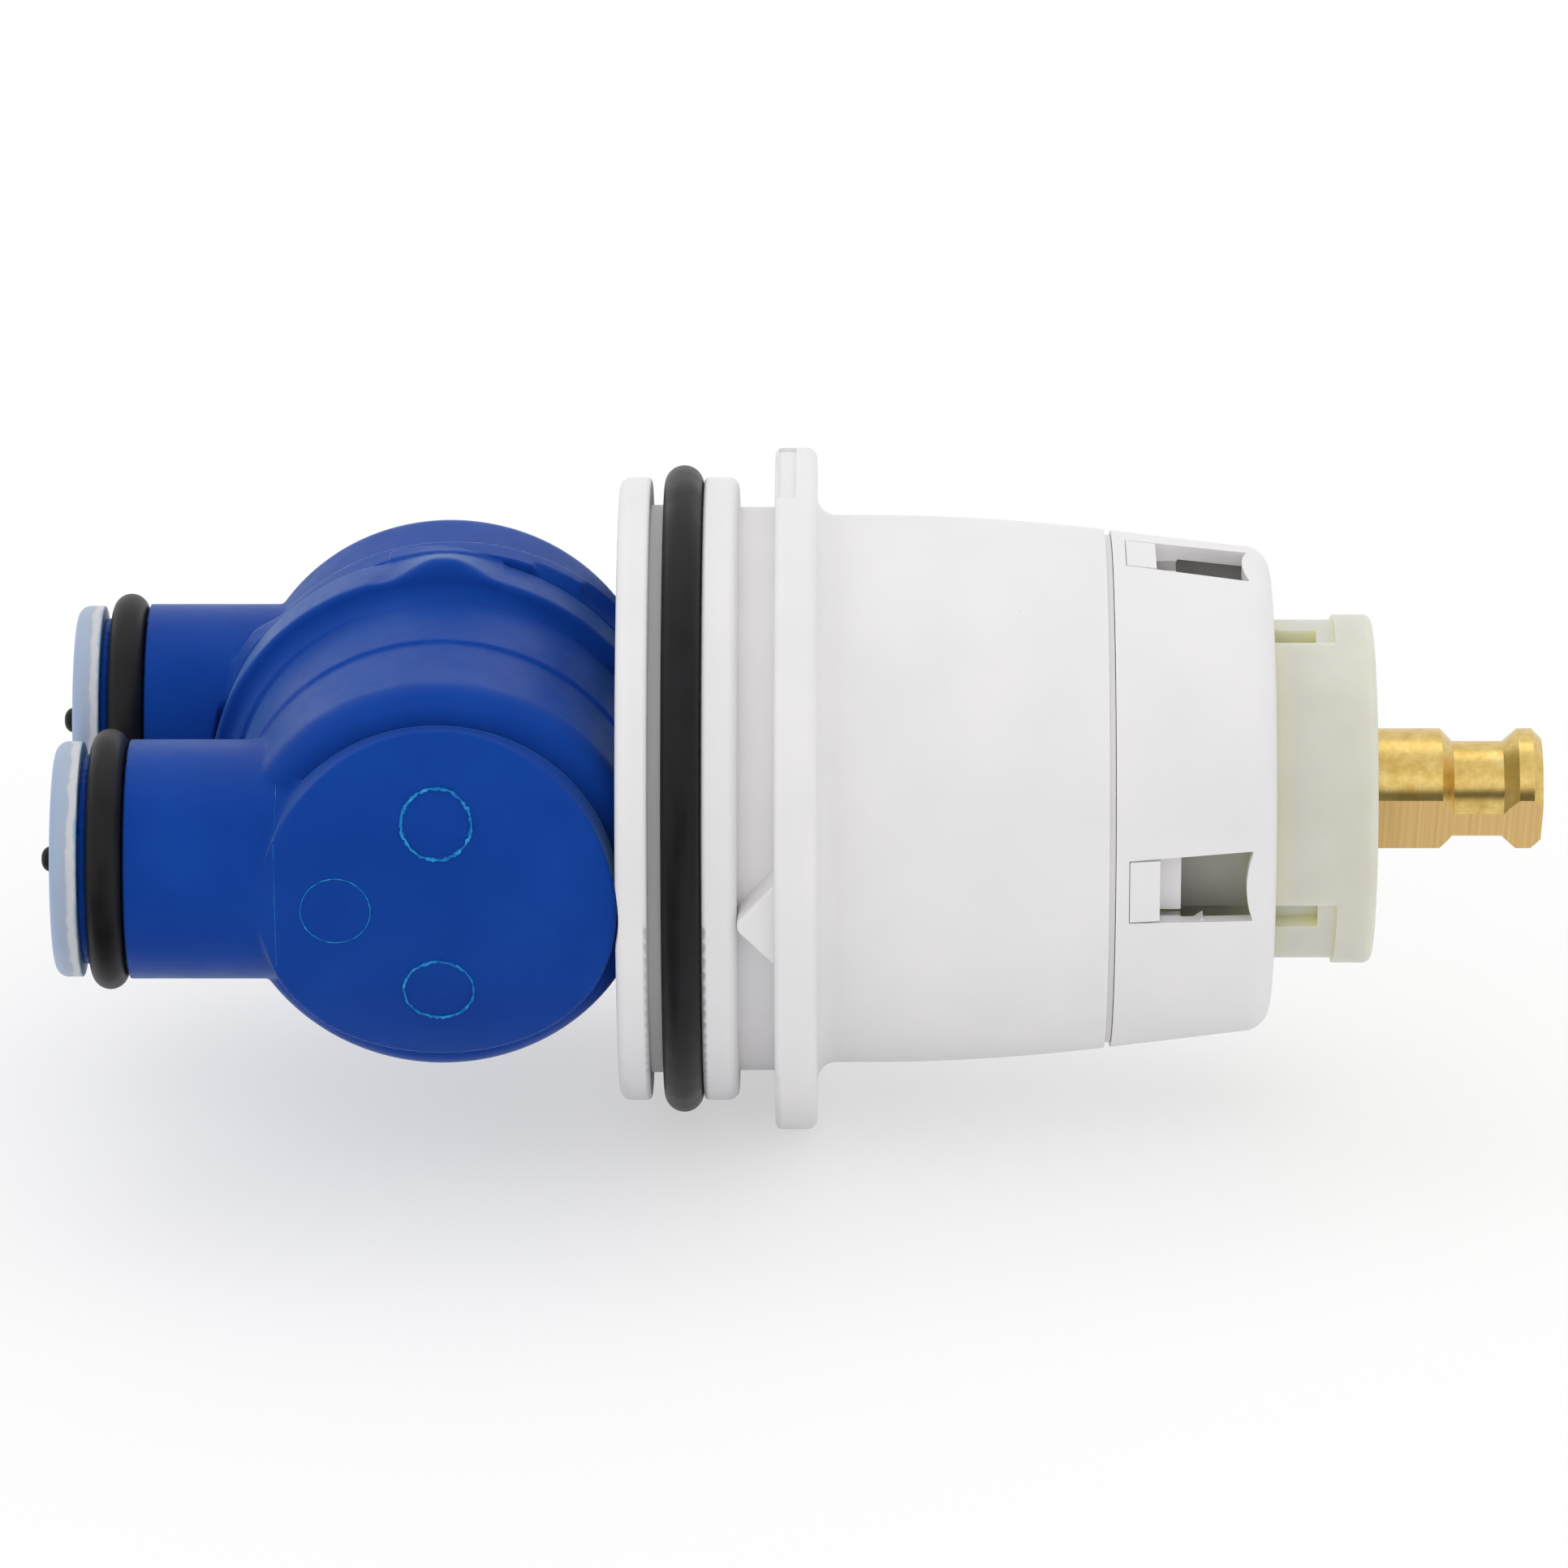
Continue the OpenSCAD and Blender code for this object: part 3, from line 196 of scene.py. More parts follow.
# %% [markdown]
# ## Blue acetal, injection moulded
# The two halves of the balancing unit are moulded in acetal too, coloured through with a dark blue pigment.
# The satin skin throws back a paler, greener blue, so the lit upper sides look lighter than the face. A
# second colour by slope would paint light on the object. A gloss that is tinted blue, and white only at a
# glancing angle, does the same in any light, and a faint sheen stands for the skin's finest scatter.

# %% Blue acetal
def acetal_moulded_blue():
    material, tree, output, place = new_material("acetal_moulded_blue")
    flow_mm, grain_mm, scuff_mm = 7, 0.3, 2.4
    flow = add(tree, "TexNoise", {"Vector": place, "Scale": per_mm(flow_mm), "Detail": 3.0})
    tint = add(tree, "ValToRGB", {"Fac": flow.outputs["Fac"]}, [(0.3, "#133b93"), (0.7, "#17429b")])
    scuff = add(tree, "TexNoise", {"Vector": place, "Scale": per_mm(scuff_mm), "Detail": 6.0,
                                   "Roughness": 0.7})
    rough = add(tree, "MapRange", {"Value": scuff.outputs["Fac"], "From Min": 0.3, "From Max": 0.7,
                                   "To Min": 0.4, "To Max": 0.52})
    surface(tree, output, Roughness=rough.outputs["Result"], IOR=1.48, Specular_IOR_Level=0.25,
            Specular_Tint=linear("#2898e0"), Sheen_Weight=0.3, Sheen_Roughness=0.3,
            Sheen_Tint=linear("#a3dce0"), Base_Color=tint.outputs["Color"],
            Normal=mould_grain(tree, place, grain_mm, strength=0.15))
    return material


keep("blue_housing", acetal_moulded_blue())

# %% [markdown]
# ## Clear-blue polypropylene
# The check valve cages are thin unfilled polypropylene, so light comes through. Full glass would be too
# clear: a little rough transmission with some subsurface gives the waxy, frosted look. What shows through
# the wall changes along the cage, and that light is painted into the colour: the tint follows the depth
# from its front, pale blue on the front, a greyer blue on the wall, a whitish band where the wall is thick,
# and the blue of the tube at the seat, painted as if seen through. A cloudy pattern wavers the limits of
# the bands.

# %% Polypropylene
def polypropylene_moulded_frosted():
    material, tree, output, place = new_material("polypropylene_moulded_frosted")
    cloud_mm, seat_mm, wax_mm = 2, 2.75, 1.0
    depth_share, cloud_share = 0.77, 0.22
    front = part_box("check_cage_left")[0].x
    cloud = add(tree, "TexNoise", {"Vector": place, "Scale": per_mm(cloud_mm), "Detail": 4.0})
    along = add(tree, "SeparateXYZ", {"Vector": place})
    depth = add(tree, "MapRange", {"Value": along.outputs["X"], "From Min": front,
                                   "From Max": front + seat_mm * MM, "To Max": depth_share})
    waver = add(tree, "Math", {0: cloud.outputs["Fac"], 1: cloud_share, 2: depth.outputs["Result"]},
                operation="MULTIPLY_ADD")
    # Painted see-through light: these bands paint what comes through the wall from behind it.
    tint = add(tree, "ValToRGB", {"Fac": waver.outputs["Value"]},
               [(0.11, "#a3bbdc"), (0.3, "#b0c0d6"), (0.46, "#b4c2d5"), (0.51, "#dbdce0"), (0.6, "#dfe0e4"),
                (0.68, "#8fbbe0")])
    surface(tree, output, Roughness=0.42, IOR=1.49, Transmission_Weight=0.2, Subsurface_Weight=0.4,
            Subsurface_Scale=wax_mm * MM, Subsurface_Radius=(0.6, 0.8, 1.0),
            Base_Color=tint.outputs["Color"])
    return material


keep("cage_plastic", polypropylene_moulded_frosted())

# %% [markdown]
# ## Natural nylon
# The temperature sleeve is unpigmented nylon. It is off-white with a green-grey cast, and waxy: light
# goes a millimetre or more into it, so thin walls glow and the slots look olive inside. Subsurface
# scattering gives the wax. The light that reaches the floor of a slot through a lot of nylon is painted
# in: a mask of how closed-in a place is turns the colour there to a clearer, yellower one, a painted glow.

# %% Nylon
def nylon_moulded_natural():
    material, tree, output, place = new_material("nylon_moulded_natural")
    cloud_mm, speck_gap_mm, hollow_mm, grain_mm, wax_mm = 5, 4.5, 2.5, 0.5, 2.0
    cloud = add(tree, "TexNoise", {"Vector": place, "Scale": per_mm(cloud_mm), "Detail": 3.0})
    tint = add(tree, "ValToRGB", {"Fac": cloud.outputs["Fac"]}, [(0.3, "#d3d1c5"), (0.7, "#d9d8cd")])
    colour = specked(tree, place, tint.outputs["Color"], speck_gap_mm, share=0.025, speck="#8f8e84")
    # Painted glow: closed-in places get a paler, yellower colour that stands for light come through the
    # nylon.
    open_sky = add(tree, "AmbientOcclusion", {"Distance": hollow_mm * MM}, samples=8)
    depth = add(tree, "MapRange", {"Value": open_sky.outputs["AO"], "From Min": 0.25, "From Max": 0.85,
                                   "To Min": 1.0, "To Max": 0.0})
    painted_glow = add(tree, "MixRGB", {"Fac": depth.outputs["Result"], "Color1": colour,
                                "Color2": linear("#eeedc0")})
    surface(tree, output, Roughness=0.42, IOR=1.53, Subsurface_Weight=0.7, Subsurface_Scale=wax_mm * MM,
            Subsurface_Radius=(1.0, 1.0, 0.6), Base_Color=painted_glow.outputs["Color"],
            Normal=mould_grain(tree, place, grain_mm, strength=0.1))
    return material


keep("nylon", nylon_moulded_natural())

# %% [markdown]
# ## Nitrile rubber, compression moulded
# The seals are black nitrile rubber. Fresh ones have a dull skin with a faint grease gloss. Carbon black
# takes nearly all the light, so what is seen is the sheen of the skin: a dark grey band on each ring.

# %% Nitrile rubber
def nitrile_rubber_moulded():
    material, tree, output, place = new_material("nitrile_rubber_moulded")
    smear_mm, grain_mm = 2.5, 0.3
    smear = add(tree, "TexNoise", {"Vector": place, "Scale": per_mm(smear_mm), "Detail": 5.0})
    rough = add(tree, "MapRange", {"Value": smear.outputs["Fac"], "From Min": 0.3, "From Max": 0.7,
                                   "To Min": 0.36, "To Max": 0.5})
    tint = add(tree, "ValToRGB", {"Fac": smear.outputs["Fac"]}, [(0.3, "#151416"), (0.7, "#1c1b1e")])
    surface(tree, output, Roughness=rough.outputs["Result"], IOR=1.52, Specular_IOR_Level=0.16,
            Base_Color=tint.outputs["Color"], Normal=mould_grain(tree, place, grain_mm, strength=0.2))
    return material


keep("seal_rubber", nitrile_rubber_moulded())

# %% [markdown]
# ## Brass, turned and milled
# The volume stem is turned from brass bar. The tool leaves fine rings around it, so its highlight is a
# bright band along the stem. The drive flat is milled across, which makes it dull and paler than the
# turned part. Both are one piece of metal, so one material holds both and tells them apart by place:
# a point lies on the flat if it is as far from the axis, in the flat's direction, as the flat is.

# %% Brass
def brass_turned():
    material, tree, output, place = new_material("brass_turned")
    flat_turn = math.radians(210)  # from +Y towards +Z
    flat_mm, flat_edge_mm = 3.3, 0.02
    ring_mm, round_mm, stain_mm, score_mm = 0.25, 40, 1.2, 0.03
    towards = add(tree, "VectorMath", {0: place, 1: (0, math.cos(flat_turn), math.sin(flat_turn))},
                  operation="DOT_PRODUCT")
    on_flat = add(tree, "Math", {0: towards.outputs["Value"], 1: (flat_mm - flat_edge_mm) * MM},
                  operation="GREATER_THAN")
    along = add(tree, "Mapping", {"Vector": place,
                                  "Scale": (per_mm(ring_mm), per_mm(round_mm), per_mm(round_mm))})
    rings = add(tree, "TexNoise", {"Vector": along.outputs["Vector"], "Scale": 1.0, "Detail": 4.0})
    stain = add(tree, "TexNoise", {"Vector": place, "Scale": per_mm(stain_mm), "Detail": 6.0,
                                   "Roughness": 0.7})
    turned = add(tree, "ValToRGB", {"Fac": stain.outputs["Fac"]},
                 [(0.3, "#c8a453"), (0.6, "#dcc078"), (0.75, "#e6ce90")])
    milled = add(tree, "ValToRGB", {"Fac": rings.outputs["Fac"]}, [(0.35, "#d1ad70"), (0.65, "#dfc082")])
    colour = add(tree, "MixRGB", {"Fac": on_flat.outputs["Value"], "Color1": turned.outputs["Color"],
                                  "Color2": milled.outputs["Color"]})
    rough = add(tree, "MapRange", {"Value": on_flat.outputs["Value"], "To Min": 0.27, "To Max": 0.5})
    bump = add(tree, "Bump", {"Height": rings.outputs["Fac"], "Strength": 0.2, "Distance": score_mm * MM})
    surface(tree, output, Metallic=1.0, Roughness=rough.outputs["Result"],
            Base_Color=colour.outputs["Color"], Normal=bump.outputs["Normal"])
    return material


keep("stem_brass", brass_turned())

# %% [markdown]
# ## The pieces inside
# Nothing of these shows in the picture, but the part is taken apart in other views. The discs are
# alumina, lapped until they seal; the balance sleeve is glass-filled nylon; the spool and the clip are
# stainless steel, ground and stamped.

# %% Alumina
def alumina_lapped():
    material, tree, output, place = new_material("alumina_lapped")
    haze_mm = 1.5
    haze = add(tree, "TexNoise", {"Vector": place, "Scale": per_mm(haze_mm), "Detail": 4.0})
    tint = add(tree, "ValToRGB", {"Fac": haze.outputs["Fac"]}, [(0.3, "#e9e3d6"), (0.7, "#f1ece0")])
    surface(tree, output, Roughness=0.25, IOR=1.76, Base_Color=tint.outputs["Color"])
    return material


keep("disc_ceramic", alumina_lapped())


# %% Glass-filled nylon
def nylon_glass_filled():
    material, tree, output, place = new_material("nylon_glass_filled")
    fibre_mm, proud_mm = 0.6, 0.03
    fibre = add(tree, "TexNoise", {"Vector": place, "Scale": per_mm(fibre_mm), "Detail": 5.0,
                                   "Roughness": 0.8})
    tint = add(tree, "ValToRGB", {"Fac": fibre.outputs["Fac"]}, [(0.3, "#bdb6a8"), (0.7, "#cfc9bc")])
    bump = add(tree, "Bump", {"Height": fibre.outputs["Fac"], "Strength": 0.2, "Distance": proud_mm * MM})
    surface(tree, output, Roughness=0.55, IOR=1.53, Base_Color=tint.outputs["Color"],
            Normal=bump.outputs["Normal"])
    return material


keep("sleeve_plastic", nylon_glass_filled())


# %% Stainless steel
def stainless_steel_ground():
    material, tree, output, place = new_material("stainless_steel_ground")
    line_mm, line_long_mm, score_mm = 0.15, 6, 0.02
    along = add(tree, "Mapping", {"Vector": place,
                                  "Scale": (per_mm(line_long_mm), per_mm(line_mm), per_mm(line_long_mm))})
    lines = add(tree, "TexNoise", {"Vector": along.outputs["Vector"], "Scale": 1.0, "Detail": 4.0})
    tint = add(tree, "ValToRGB", {"Fac": lines.outputs["Fac"]}, [(0.3, "#b4b7bb"), (0.7, "#c6c9cd")])
    bump = add(tree, "Bump", {"Height": lines.outputs["Fac"], "Strength": 0.2, "Distance": score_mm * MM})
    surface(tree, output, Metallic=1.0, Roughness=0.28, Base_Color=tint.outputs["Color"],
            Normal=bump.outputs["Normal"])
    return material


keep("spool_steel", stainless_steel_ground())

# %% [markdown]
# ## Every solid gets its finish
# The record says which slot each solid belongs to, so one loop dresses them all.

# %% The solids' finishes
for row in frame["record"]["subparts"]:
    solid = nodes[row["node"]]
    solid.data.materials.clear()
    solid.data.materials.append(FINISH[row["material_slot"]])

# %% [markdown]
# ## The housings as they leave the mould
# A moulded part has no sharp edge: the tool is rounded where the plastic has to flow, and where a tube
# joins a shoulder there is a fillet. The solids have crisp edges instead. A bevel on their triangles would
# tear, so each half is wrapped anew in an even net of small squares, which takes in what is joined to it,
# and the net is then relaxed: a little everywhere, and more at the end button, at the root of the tube and
# along the rim's joint. Last, a dent is pressed in, and the net is thinned where it is flat.

# %% Meshes from points
def mesh_object(name, points, faces):
    """A new object from points in mm and faces."""
    mesh = bpy.data.meshes.new(name)
    mesh.from_pydata([Vector(point) * MM for point in points], [], faces)
    piece = bpy.data.objects.new(name, mesh)
    bpy.context.scene.collection.objects.link(piece)
    return piece


def apply_modifiers(piece):
    """Makes the result of the piece's modifiers its own mesh."""
    bpy.context.view_layer.update()
    seen = piece.evaluated_get(bpy.context.evaluated_depsgraph_get())
    mesh = bpy.data.meshes.new_from_object(seen)
    piece.modifiers.clear()
    piece.data = mesh


def shade_round(piece):
    """Smooth shading on every face but those with more than four corners, which close an end."""
    for polygon in piece.data.polygons:
        polygon.use_smooth = len(polygon.vertices) < 5


def wrap_in_net(piece, net_mm):
    """Gives a closed piece an even net of squares of that size."""
    net = piece.modifiers.new("net", "REMESH")
    net.mode = "VOXEL"
    net.voxel_size = net_mm * MM


print("faces of a half before the net:", len(nodes["housing_left"].data.polygons))

# %% A net, relaxed and dented
housing_mid = sum(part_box("balance_sleeve"), Vector()) / 2
axis_mm = housing_mid.x / MM
thin_share = 0.3


def relaxed(piece, net_mm, light, strong, soft_place, dent):
    """Wraps a closed piece in a net and relaxes it, more where soft_place says, then dents it."""
    wrap_in_net(piece, net_mm)
    apply_modifiers(piece)
    group = piece.vertex_groups.new(name="soft")
    for vertex in piece.data.vertices:
        weight = soft_place(vertex.co / MM)
        if weight > 0:
            group.add([vertex.index], weight, "REPLACE")
    for name, passes in (("everywhere", light), ("soft places", strong)):
        smooth = piece.modifiers.new(name, "SMOOTH")
        smooth.factor = 0.5
        smooth.iterations = passes
    smooth.vertex_group = "soft"
    apply_modifiers(piece)
    for vertex in piece.data.vertices:
        x, y, z = vertex.co / MM
        vertex.co -= Vector((x - axis_mm, 0, z)).normalized() * dent(vertex.co / MM) * MM
    thin = piece.modifiers.new("thin", "DECIMATE")
    thin.ratio = thin_share
    apply_modifiers(piece)
    shade_round(piece)


print("the housing's axis crosses at x =", round(axis_mm, 2), "mm")

# %% [markdown]
# ## The key on the rim
# On top and below, the near half's rim swells into a key. From the front it is a bell, highest at the
# rim's edge, and it runs out backwards over the joint. The solid's key has a flat roof, so its points are
# drawn back to the rim, and a lens with the true swell is laid over it before the net goes on.

# %% The rim and the key's swell
rim_r_mm, rim_near_mm, rim_joint_mm, rim_draft_mm = 17.2, 0.2, 4.9, 0.4
far_rim_r_mm = 17.0
key_top_mm, key_half_mm, key_run_mm, key_rise_mm = 0.4, 4.3, 6.4, 1.25
key_round_mm = 0.9


def step(x, low, high):
    """0 below low, 1 above high, and a smooth rise between them."""
    t = min(max((x - low) / (high - low), 0), 1)
    return t * t * (3 - 2 * t)


def rim_line(y):
    """Radius of the rim, y from its near edge: drafted down to the joint, and even behind it."""
    if y + rim_near_mm > rim_joint_mm:
        return far_rim_r_mm
    return rim_r_mm - rim_draft_mm * y / (rim_joint_mm - rim_near_mm)


def key_swell(x, y):
    """Height over the rim, x across the key and y back from the rim's near edge."""
    brow = math.sqrt(1 - (1 - min(y / key_round_mm, 1)) ** 2)
    bell = 1 - step(abs(x), key_top_mm, key_half_mm)
    return key_rise_mm * bell * brow * (1 - step(y, 0, key_run_mm))


print("the key stands", round(key_swell(0, key_round_mm), 2), "mm over the rim behind its round brow")

# %% The lens that carries the swell
lens_across, lens_along = 40, 32
lens_sunk_mm, lens_under_mm = 0.5, 0.02


def lens_skin(side, upper):
    """The points of the lens's upper or lower skin, row by row."""
    points = []
    for i in range(lens_across + 1):
        for j in range(lens_along + 1):
            x = key_half_mm * (2 * i / lens_across - 1)
            y = key_run_mm * j / lens_along
            r = rim_line(y) + (key_swell(x, y) - lens_under_mm if upper else -lens_sunk_mm)
            points.append((axis_mm + x, rim_near_mm + y, side * math.sqrt(r * r - x * x)))
    return points


def key_lens(side):
    """A closed lens on top of the rim or, with side -1, below it."""
    points = lens_skin(side, upper=True) + lens_skin(side, upper=False)
    faces = []
    row = lens_along + 1
    size = row * (lens_across + 1)
    for i in range(lens_across):
        for j in range(lens_along):
            a = i * row + j
            faces.append((a, a + row, a + row + 1, a + 1))
            faces.append((size + a + 1, size + a + row + 1, size + a + row, size + a))
    rim = [i * row for i in range(lens_across + 1)] + [lens_across * row + j for j in range(1, row)]
    rim += [i * row + lens_along for i in range(lens_across - 1, -1, -1)]
    rim += list(range(lens_along - 1, 0, -1))
    for a, b in zip(rim, rim[1:] + rim[:1]):
        faces.append((b, a, a + size, b + size))
    return mesh_object("key_lens", points, faces)


print("points on a lens:", 2 * (lens_across + 1) * (lens_along + 1))

# %% Points drawn to the rim
key_margin_mm, joint_slack_mm = 1, 0.1
far_rim_shift_mm, far_rim_end_mm = 0.5, 8
tube_start_mm, tube_flank_mm = (9, 13), (9.5, 12)


def without_key(mesh):
    """Draws every point above the rim, near the key, back onto the rim."""
    for vertex in mesh.vertices:
        x, y, z = vertex.co / MM
        x -= axis_mm
        r = math.hypot(x, z)
        own_r = rim_line(y - rim_near_mm)
        near_key = abs(x) < key_half_mm + key_margin_mm and 0 < y < rim_joint_mm + joint_slack_mm
        if r > own_r and near_key:
            vertex.co = Vector((axis_mm + x * own_r / r, y, z * own_r / r)) * MM


def even_rim(mesh):
    """Draws the far half's rim to one radius, so that it lies level behind the joint, but not its tube."""
    for vertex in mesh.vertices:
        x, y, z = vertex.co / MM
        x -= axis_mm + far_rim_shift_mm
        r = math.hypot(x, z)
        if r > rim_r_mm - 2 * rim_draft_mm and rim_joint_mm < y < far_rim_end_mm:
            on_tube = step(-x, *tube_start_mm) * (1 - step(abs(z), *tube_flank_mm))
            ratio = 1 + (far_rim_r_mm / r - 1) * (1 - on_tube)
            vertex.co = Vector((axis_mm + far_rim_shift_mm + x * ratio, y, z * ratio)) * MM


def join(pieces):
    with bpy.context.temp_override(active_object=pieces[0], selected_editable_objects=pieces):
        bpy.ops.object.join()
    return pieces[0]


print("the far rim is level at", far_rim_r_mm, "mm")

# %% [markdown]
# ## Where the mould is soft
# The net is relaxed by place. Each soft place fades in and out over a short way, so that no edge of it
# shows: a pair of values says where a fade starts and where it ends. The button leaves the shoulder in a
# thin dark line, which is pressed in as a dent.

# %% The soft places
button_face_mm, button_start_mm = (17.2, 18), (-19, -14)
root_start_mm, root_end_mm, root_side_mm = (-18, -15), (8, 10), (3.5, 5)
lip_r_mm, lip_depth_mm, lip_start_mm = (15.4, 16.4), (1.5, 3.5), (-17, -14)
button_softness, lip_softness = 0.3, 0.6


def soft_housing(point):
    """How far a point of a half is in its soft places, from 0 to 1."""
    x = point.x - axis_mm
    r = math.hypot(x, point.z)
    button = button_softness * step(abs(point.y), *button_face_mm) * step(x, *button_start_mm)
    root = step(x, *root_start_mm) * step(-x, *root_end_mm) * step(abs(point.y), *root_side_mm)
    lip = lip_softness * step(r, *lip_r_mm) * (1 - step(point.y, *lip_depth_mm)) * step(x, *lip_start_mm)
    return max(button, root, lip)


print("softness: button", button_softness, "tube root 1, rim", lip_softness)

# %% The line at the button's foot
foot_mm, foot_wide_mm, foot_deep_mm = 16.82, 0.17, 0.6
button_r_mm, foot_inside_mm, foot_outside_mm = 13.05, 0.8, 1.2
tube_from_mm, tube_half_mm = 9, 8.6


def foot_dent(point):
    """Depth of the line where a button leaves the shoulder."""
    x = point.x - axis_mm
    r = math.hypot(x, point.z)
    on_tube = x < -tube_from_mm and abs(point.z) < tube_half_mm
    if on_tube or not button_r_mm - foot_inside_mm < r < button_r_mm + foot_outside_mm:
        return 0
    return foot_deep_mm * math.exp(-((abs(point.y) - foot_mm) / foot_wide_mm) ** 2)


print("foot line:", foot_deep_mm, "mm deep")

# %% The two halves
moulded = {}
for side, name in ((-1, "housing_left"), (1, "housing_right")):
    half = bpy.data.objects.new(name + "_moulded", nodes[name].data.copy())
    bpy.context.scene.collection.objects.link(half)
    if side < 0:
        without_key(half.data)
        half = join([half, key_lens(1), key_lens(-1)])
    else:
        even_rim(half.data)
    relaxed(half, net_mm=0.17, light=1, strong=14, soft_place=soft_housing, dent=foot_dent)
    half.data.materials.clear()
    half.data.materials.append(FINISH["blue_housing"])
    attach(half, "valve")
    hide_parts(name)
    moulded[side] = half
    print(half.name, "has", len(half.data.polygons), "faces")

# %% [markdown]
# ## Flash round the ejector pins
# Three pins push each half out of the mould, and plastic creeps into the gap round each pin: on the end
# button it stands up as a thin torn ring. The plates of the tool leave a straight line in the same way.
# Flash is paler than the part, because it is so thin that light comes through; the paler blue is painted
# light. Bump could draw a ring, but the torn edge stands proud, so each line is a narrow ridge laid on the
# moulded face, with an uneven top.

# %% The material of the flash
def acetal_flash():
    material, tree, output, place = new_material("acetal_flash")
    tear_mm, thin_mm = 0.8, 0.2
    torn = add(tree, "TexNoise", {"Vector": place, "Scale": per_mm(tear_mm), "Detail": 4.0})
    # Painted light: the paler blue stands for light that comes through the thin flash.
    tint = add(tree, "ValToRGB", {"Fac": torn.outputs["Fac"]},
               [(0.35, "#0f62b2"), (0.5, "#1884c6"), (0.65, "#34a3da")])
    surface(tree, output, Roughness=0.45, IOR=1.48, Specular_IOR_Level=0.2, Subsurface_Weight=0.3,
            Subsurface_Scale=thin_mm * MM, Base_Color=tint.outputs["Color"])
    return material


keep("flash", acetal_flash())

# %% Points on the button's face
skin = {side: BVHTree.FromPolygons([vertex.co for vertex in half.data.vertices],
                                   [tuple(polygon.vertices) for polygon in half.data.polygons])
        for side, half in moulded.items()}
outside_mm = 60


def on_button(side, x, z):
    """The point and the outward normal of a button's face, x and z from the housing's axis in mm."""
    start = Vector((axis_mm + x, side * outside_mm, z)) * MM
    place, normal = skin[side].ray_cast(start, Vector((0, -side, 0)))[:2]
    return place / MM, normal


print("the left button's face lies at y =", round(on_button(-1, 0, 0)[0].y, 2), "mm")

# %% A ridge along a line on the face
top_share, buried_mm = 0.4, 0.06
wide_tear, high_tear, lean_tear = 0.5, 0.8, 0.4


def ridge_points(line, closed, width_mm, height_mm, tear, chance):
    """Four points across the ridge at each point of the line: foot, top, top, foot."""
    points = []
    count = len(line)
    for i, (place, normal) in enumerate(line):
        ahead = line[(i + 1) % count if closed else min(i + 1, count - 1)][0]
        behind = line[i - 1 if closed or i else 0][0]
        across = (ahead - behind).normalized().cross(normal).normalized()
        wide = width_mm * (1 + tear * chance.uniform(-wide_tear, wide_tear)) / 2
        high = height_mm * (1 + tear * chance.uniform(-high_tear, high_tear))
        lean = across * tear * chance.uniform(-lean_tear, lean_tear) * width_mm
        foot = normal * buried_mm
        top = lean + normal * high
        points += [place - across * wide - foot, place - across * wide * top_share + top,
                   place + across * wide * top_share + top, place + across * wide - foot]
    return points


def flash(name, line, closed, width_mm, height_mm, tear, seed):
    """A ridge along a line of points and normals; tear is how uneven it is, 0 for even."""
    points = ridge_points(line, closed, width_mm, height_mm, tear, random.Random(seed))
    faces = []
    count = len(line)
    for i in range(count if closed else count - 1):
        a, b = 4 * i, 4 * ((i + 1) % count)
        for k in range(4):
            faces.append((a + k, b + k, b + (k + 1) % 4, a + (k + 1) % 4))
    if not closed:
        faces += [(0, 1, 2, 3), (4 * count - 1, 4 * count - 2, 4 * count - 3, 4 * count - 4)]
    ridge = mesh_object(name, points, faces)
    ridge.data.materials.append(FINISH["flash"])
    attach(ridge, "valve")


print("a ridge is buried", buried_mm, "mm in the face")

# %% Three rings and a line on each button
pin_r_mm, ring_steps = 2.55, 72
PIN_MARKS = (  # x and z from the axis, width, height, tear
    (0.0, 6.7, 0.26, 0.16, 1.0),
    (-7.4, 0.15, 0.1, 0.05, 0.5),
    (0.0, -6.6, 0.2, 0.12, 0.9),
)
seam_x_mm, seam_low_mm, seam_long_mm, seam_steps = -11.8, -4.5, 12.5, 40
seam_wide_mm, seam_high_mm, seam_tear, seam_seed = 0.05, 0.02, 0.5, 9
turns = [math.tau * i / ring_steps for i in range(ring_steps)]
climbs = [seam_low_mm + seam_long_mm * i / seam_steps for i in range(seam_steps + 1)]
for side, hand in ((-1, "left"), (1, "right")):
    for number, (x, z, width, height, tear) in enumerate(PIN_MARKS, 1):
        ring = [on_button(side, x + pin_r_mm * math.cos(t), z + pin_r_mm * math.sin(t)) for t in turns]
        flash(f"flash_{hand}_pin_{number}", ring, True, width, height, tear, seed=number)
    seam = [on_button(side, seam_x_mm, z) for z in climbs]
    flash(f"flash_{hand}_line", seam, False, seam_wide_mm, seam_high_mm, seam_tear, seed=seam_seed)
print("flash lines:", 2 * (len(PIN_MARKS) + 1))

# %% [markdown]
# ## The beads of the check valves
# Each check valve's rubber umbrella is pulled through its cage by a stalk, and a bead in front of the cage
# keeps it there. The stalk is cut off above the bead, which leaves it a little egg-shaped. It is turned
# here: a profile goes round the stalk's line, as a lathe would make it.

# %% The two beads
bead_r_mm, bead_proud_mm, bead_sunk_mm = 0.95, 1.15, 0.3
bead_rows, bead_sides = 9, 28
bead_turn = 0.78 * math.pi  # where the profile stops, counted from the tip
bead_fullness = 0.8  # below 1 the egg is blunter


def bead_points(front_mm, y_mm):
    """The bead's tip, and then ring after ring towards the cage."""
    points = [(front_mm - bead_proud_mm, y_mm, 0)]
    for i in range(1, bead_rows + 1):
        turn = bead_turn * i / bead_rows
        along = front_mm + bead_sunk_mm - (bead_proud_mm + bead_sunk_mm) * (0.5 + 0.5 * math.cos(turn))
        r = bead_r_mm * math.sin(turn) ** bead_fullness
        for k in range(bead_sides):
            t = math.tau * k / bead_sides
            points.append((along, y_mm + r * math.cos(t), r * math.sin(t)))
    return points


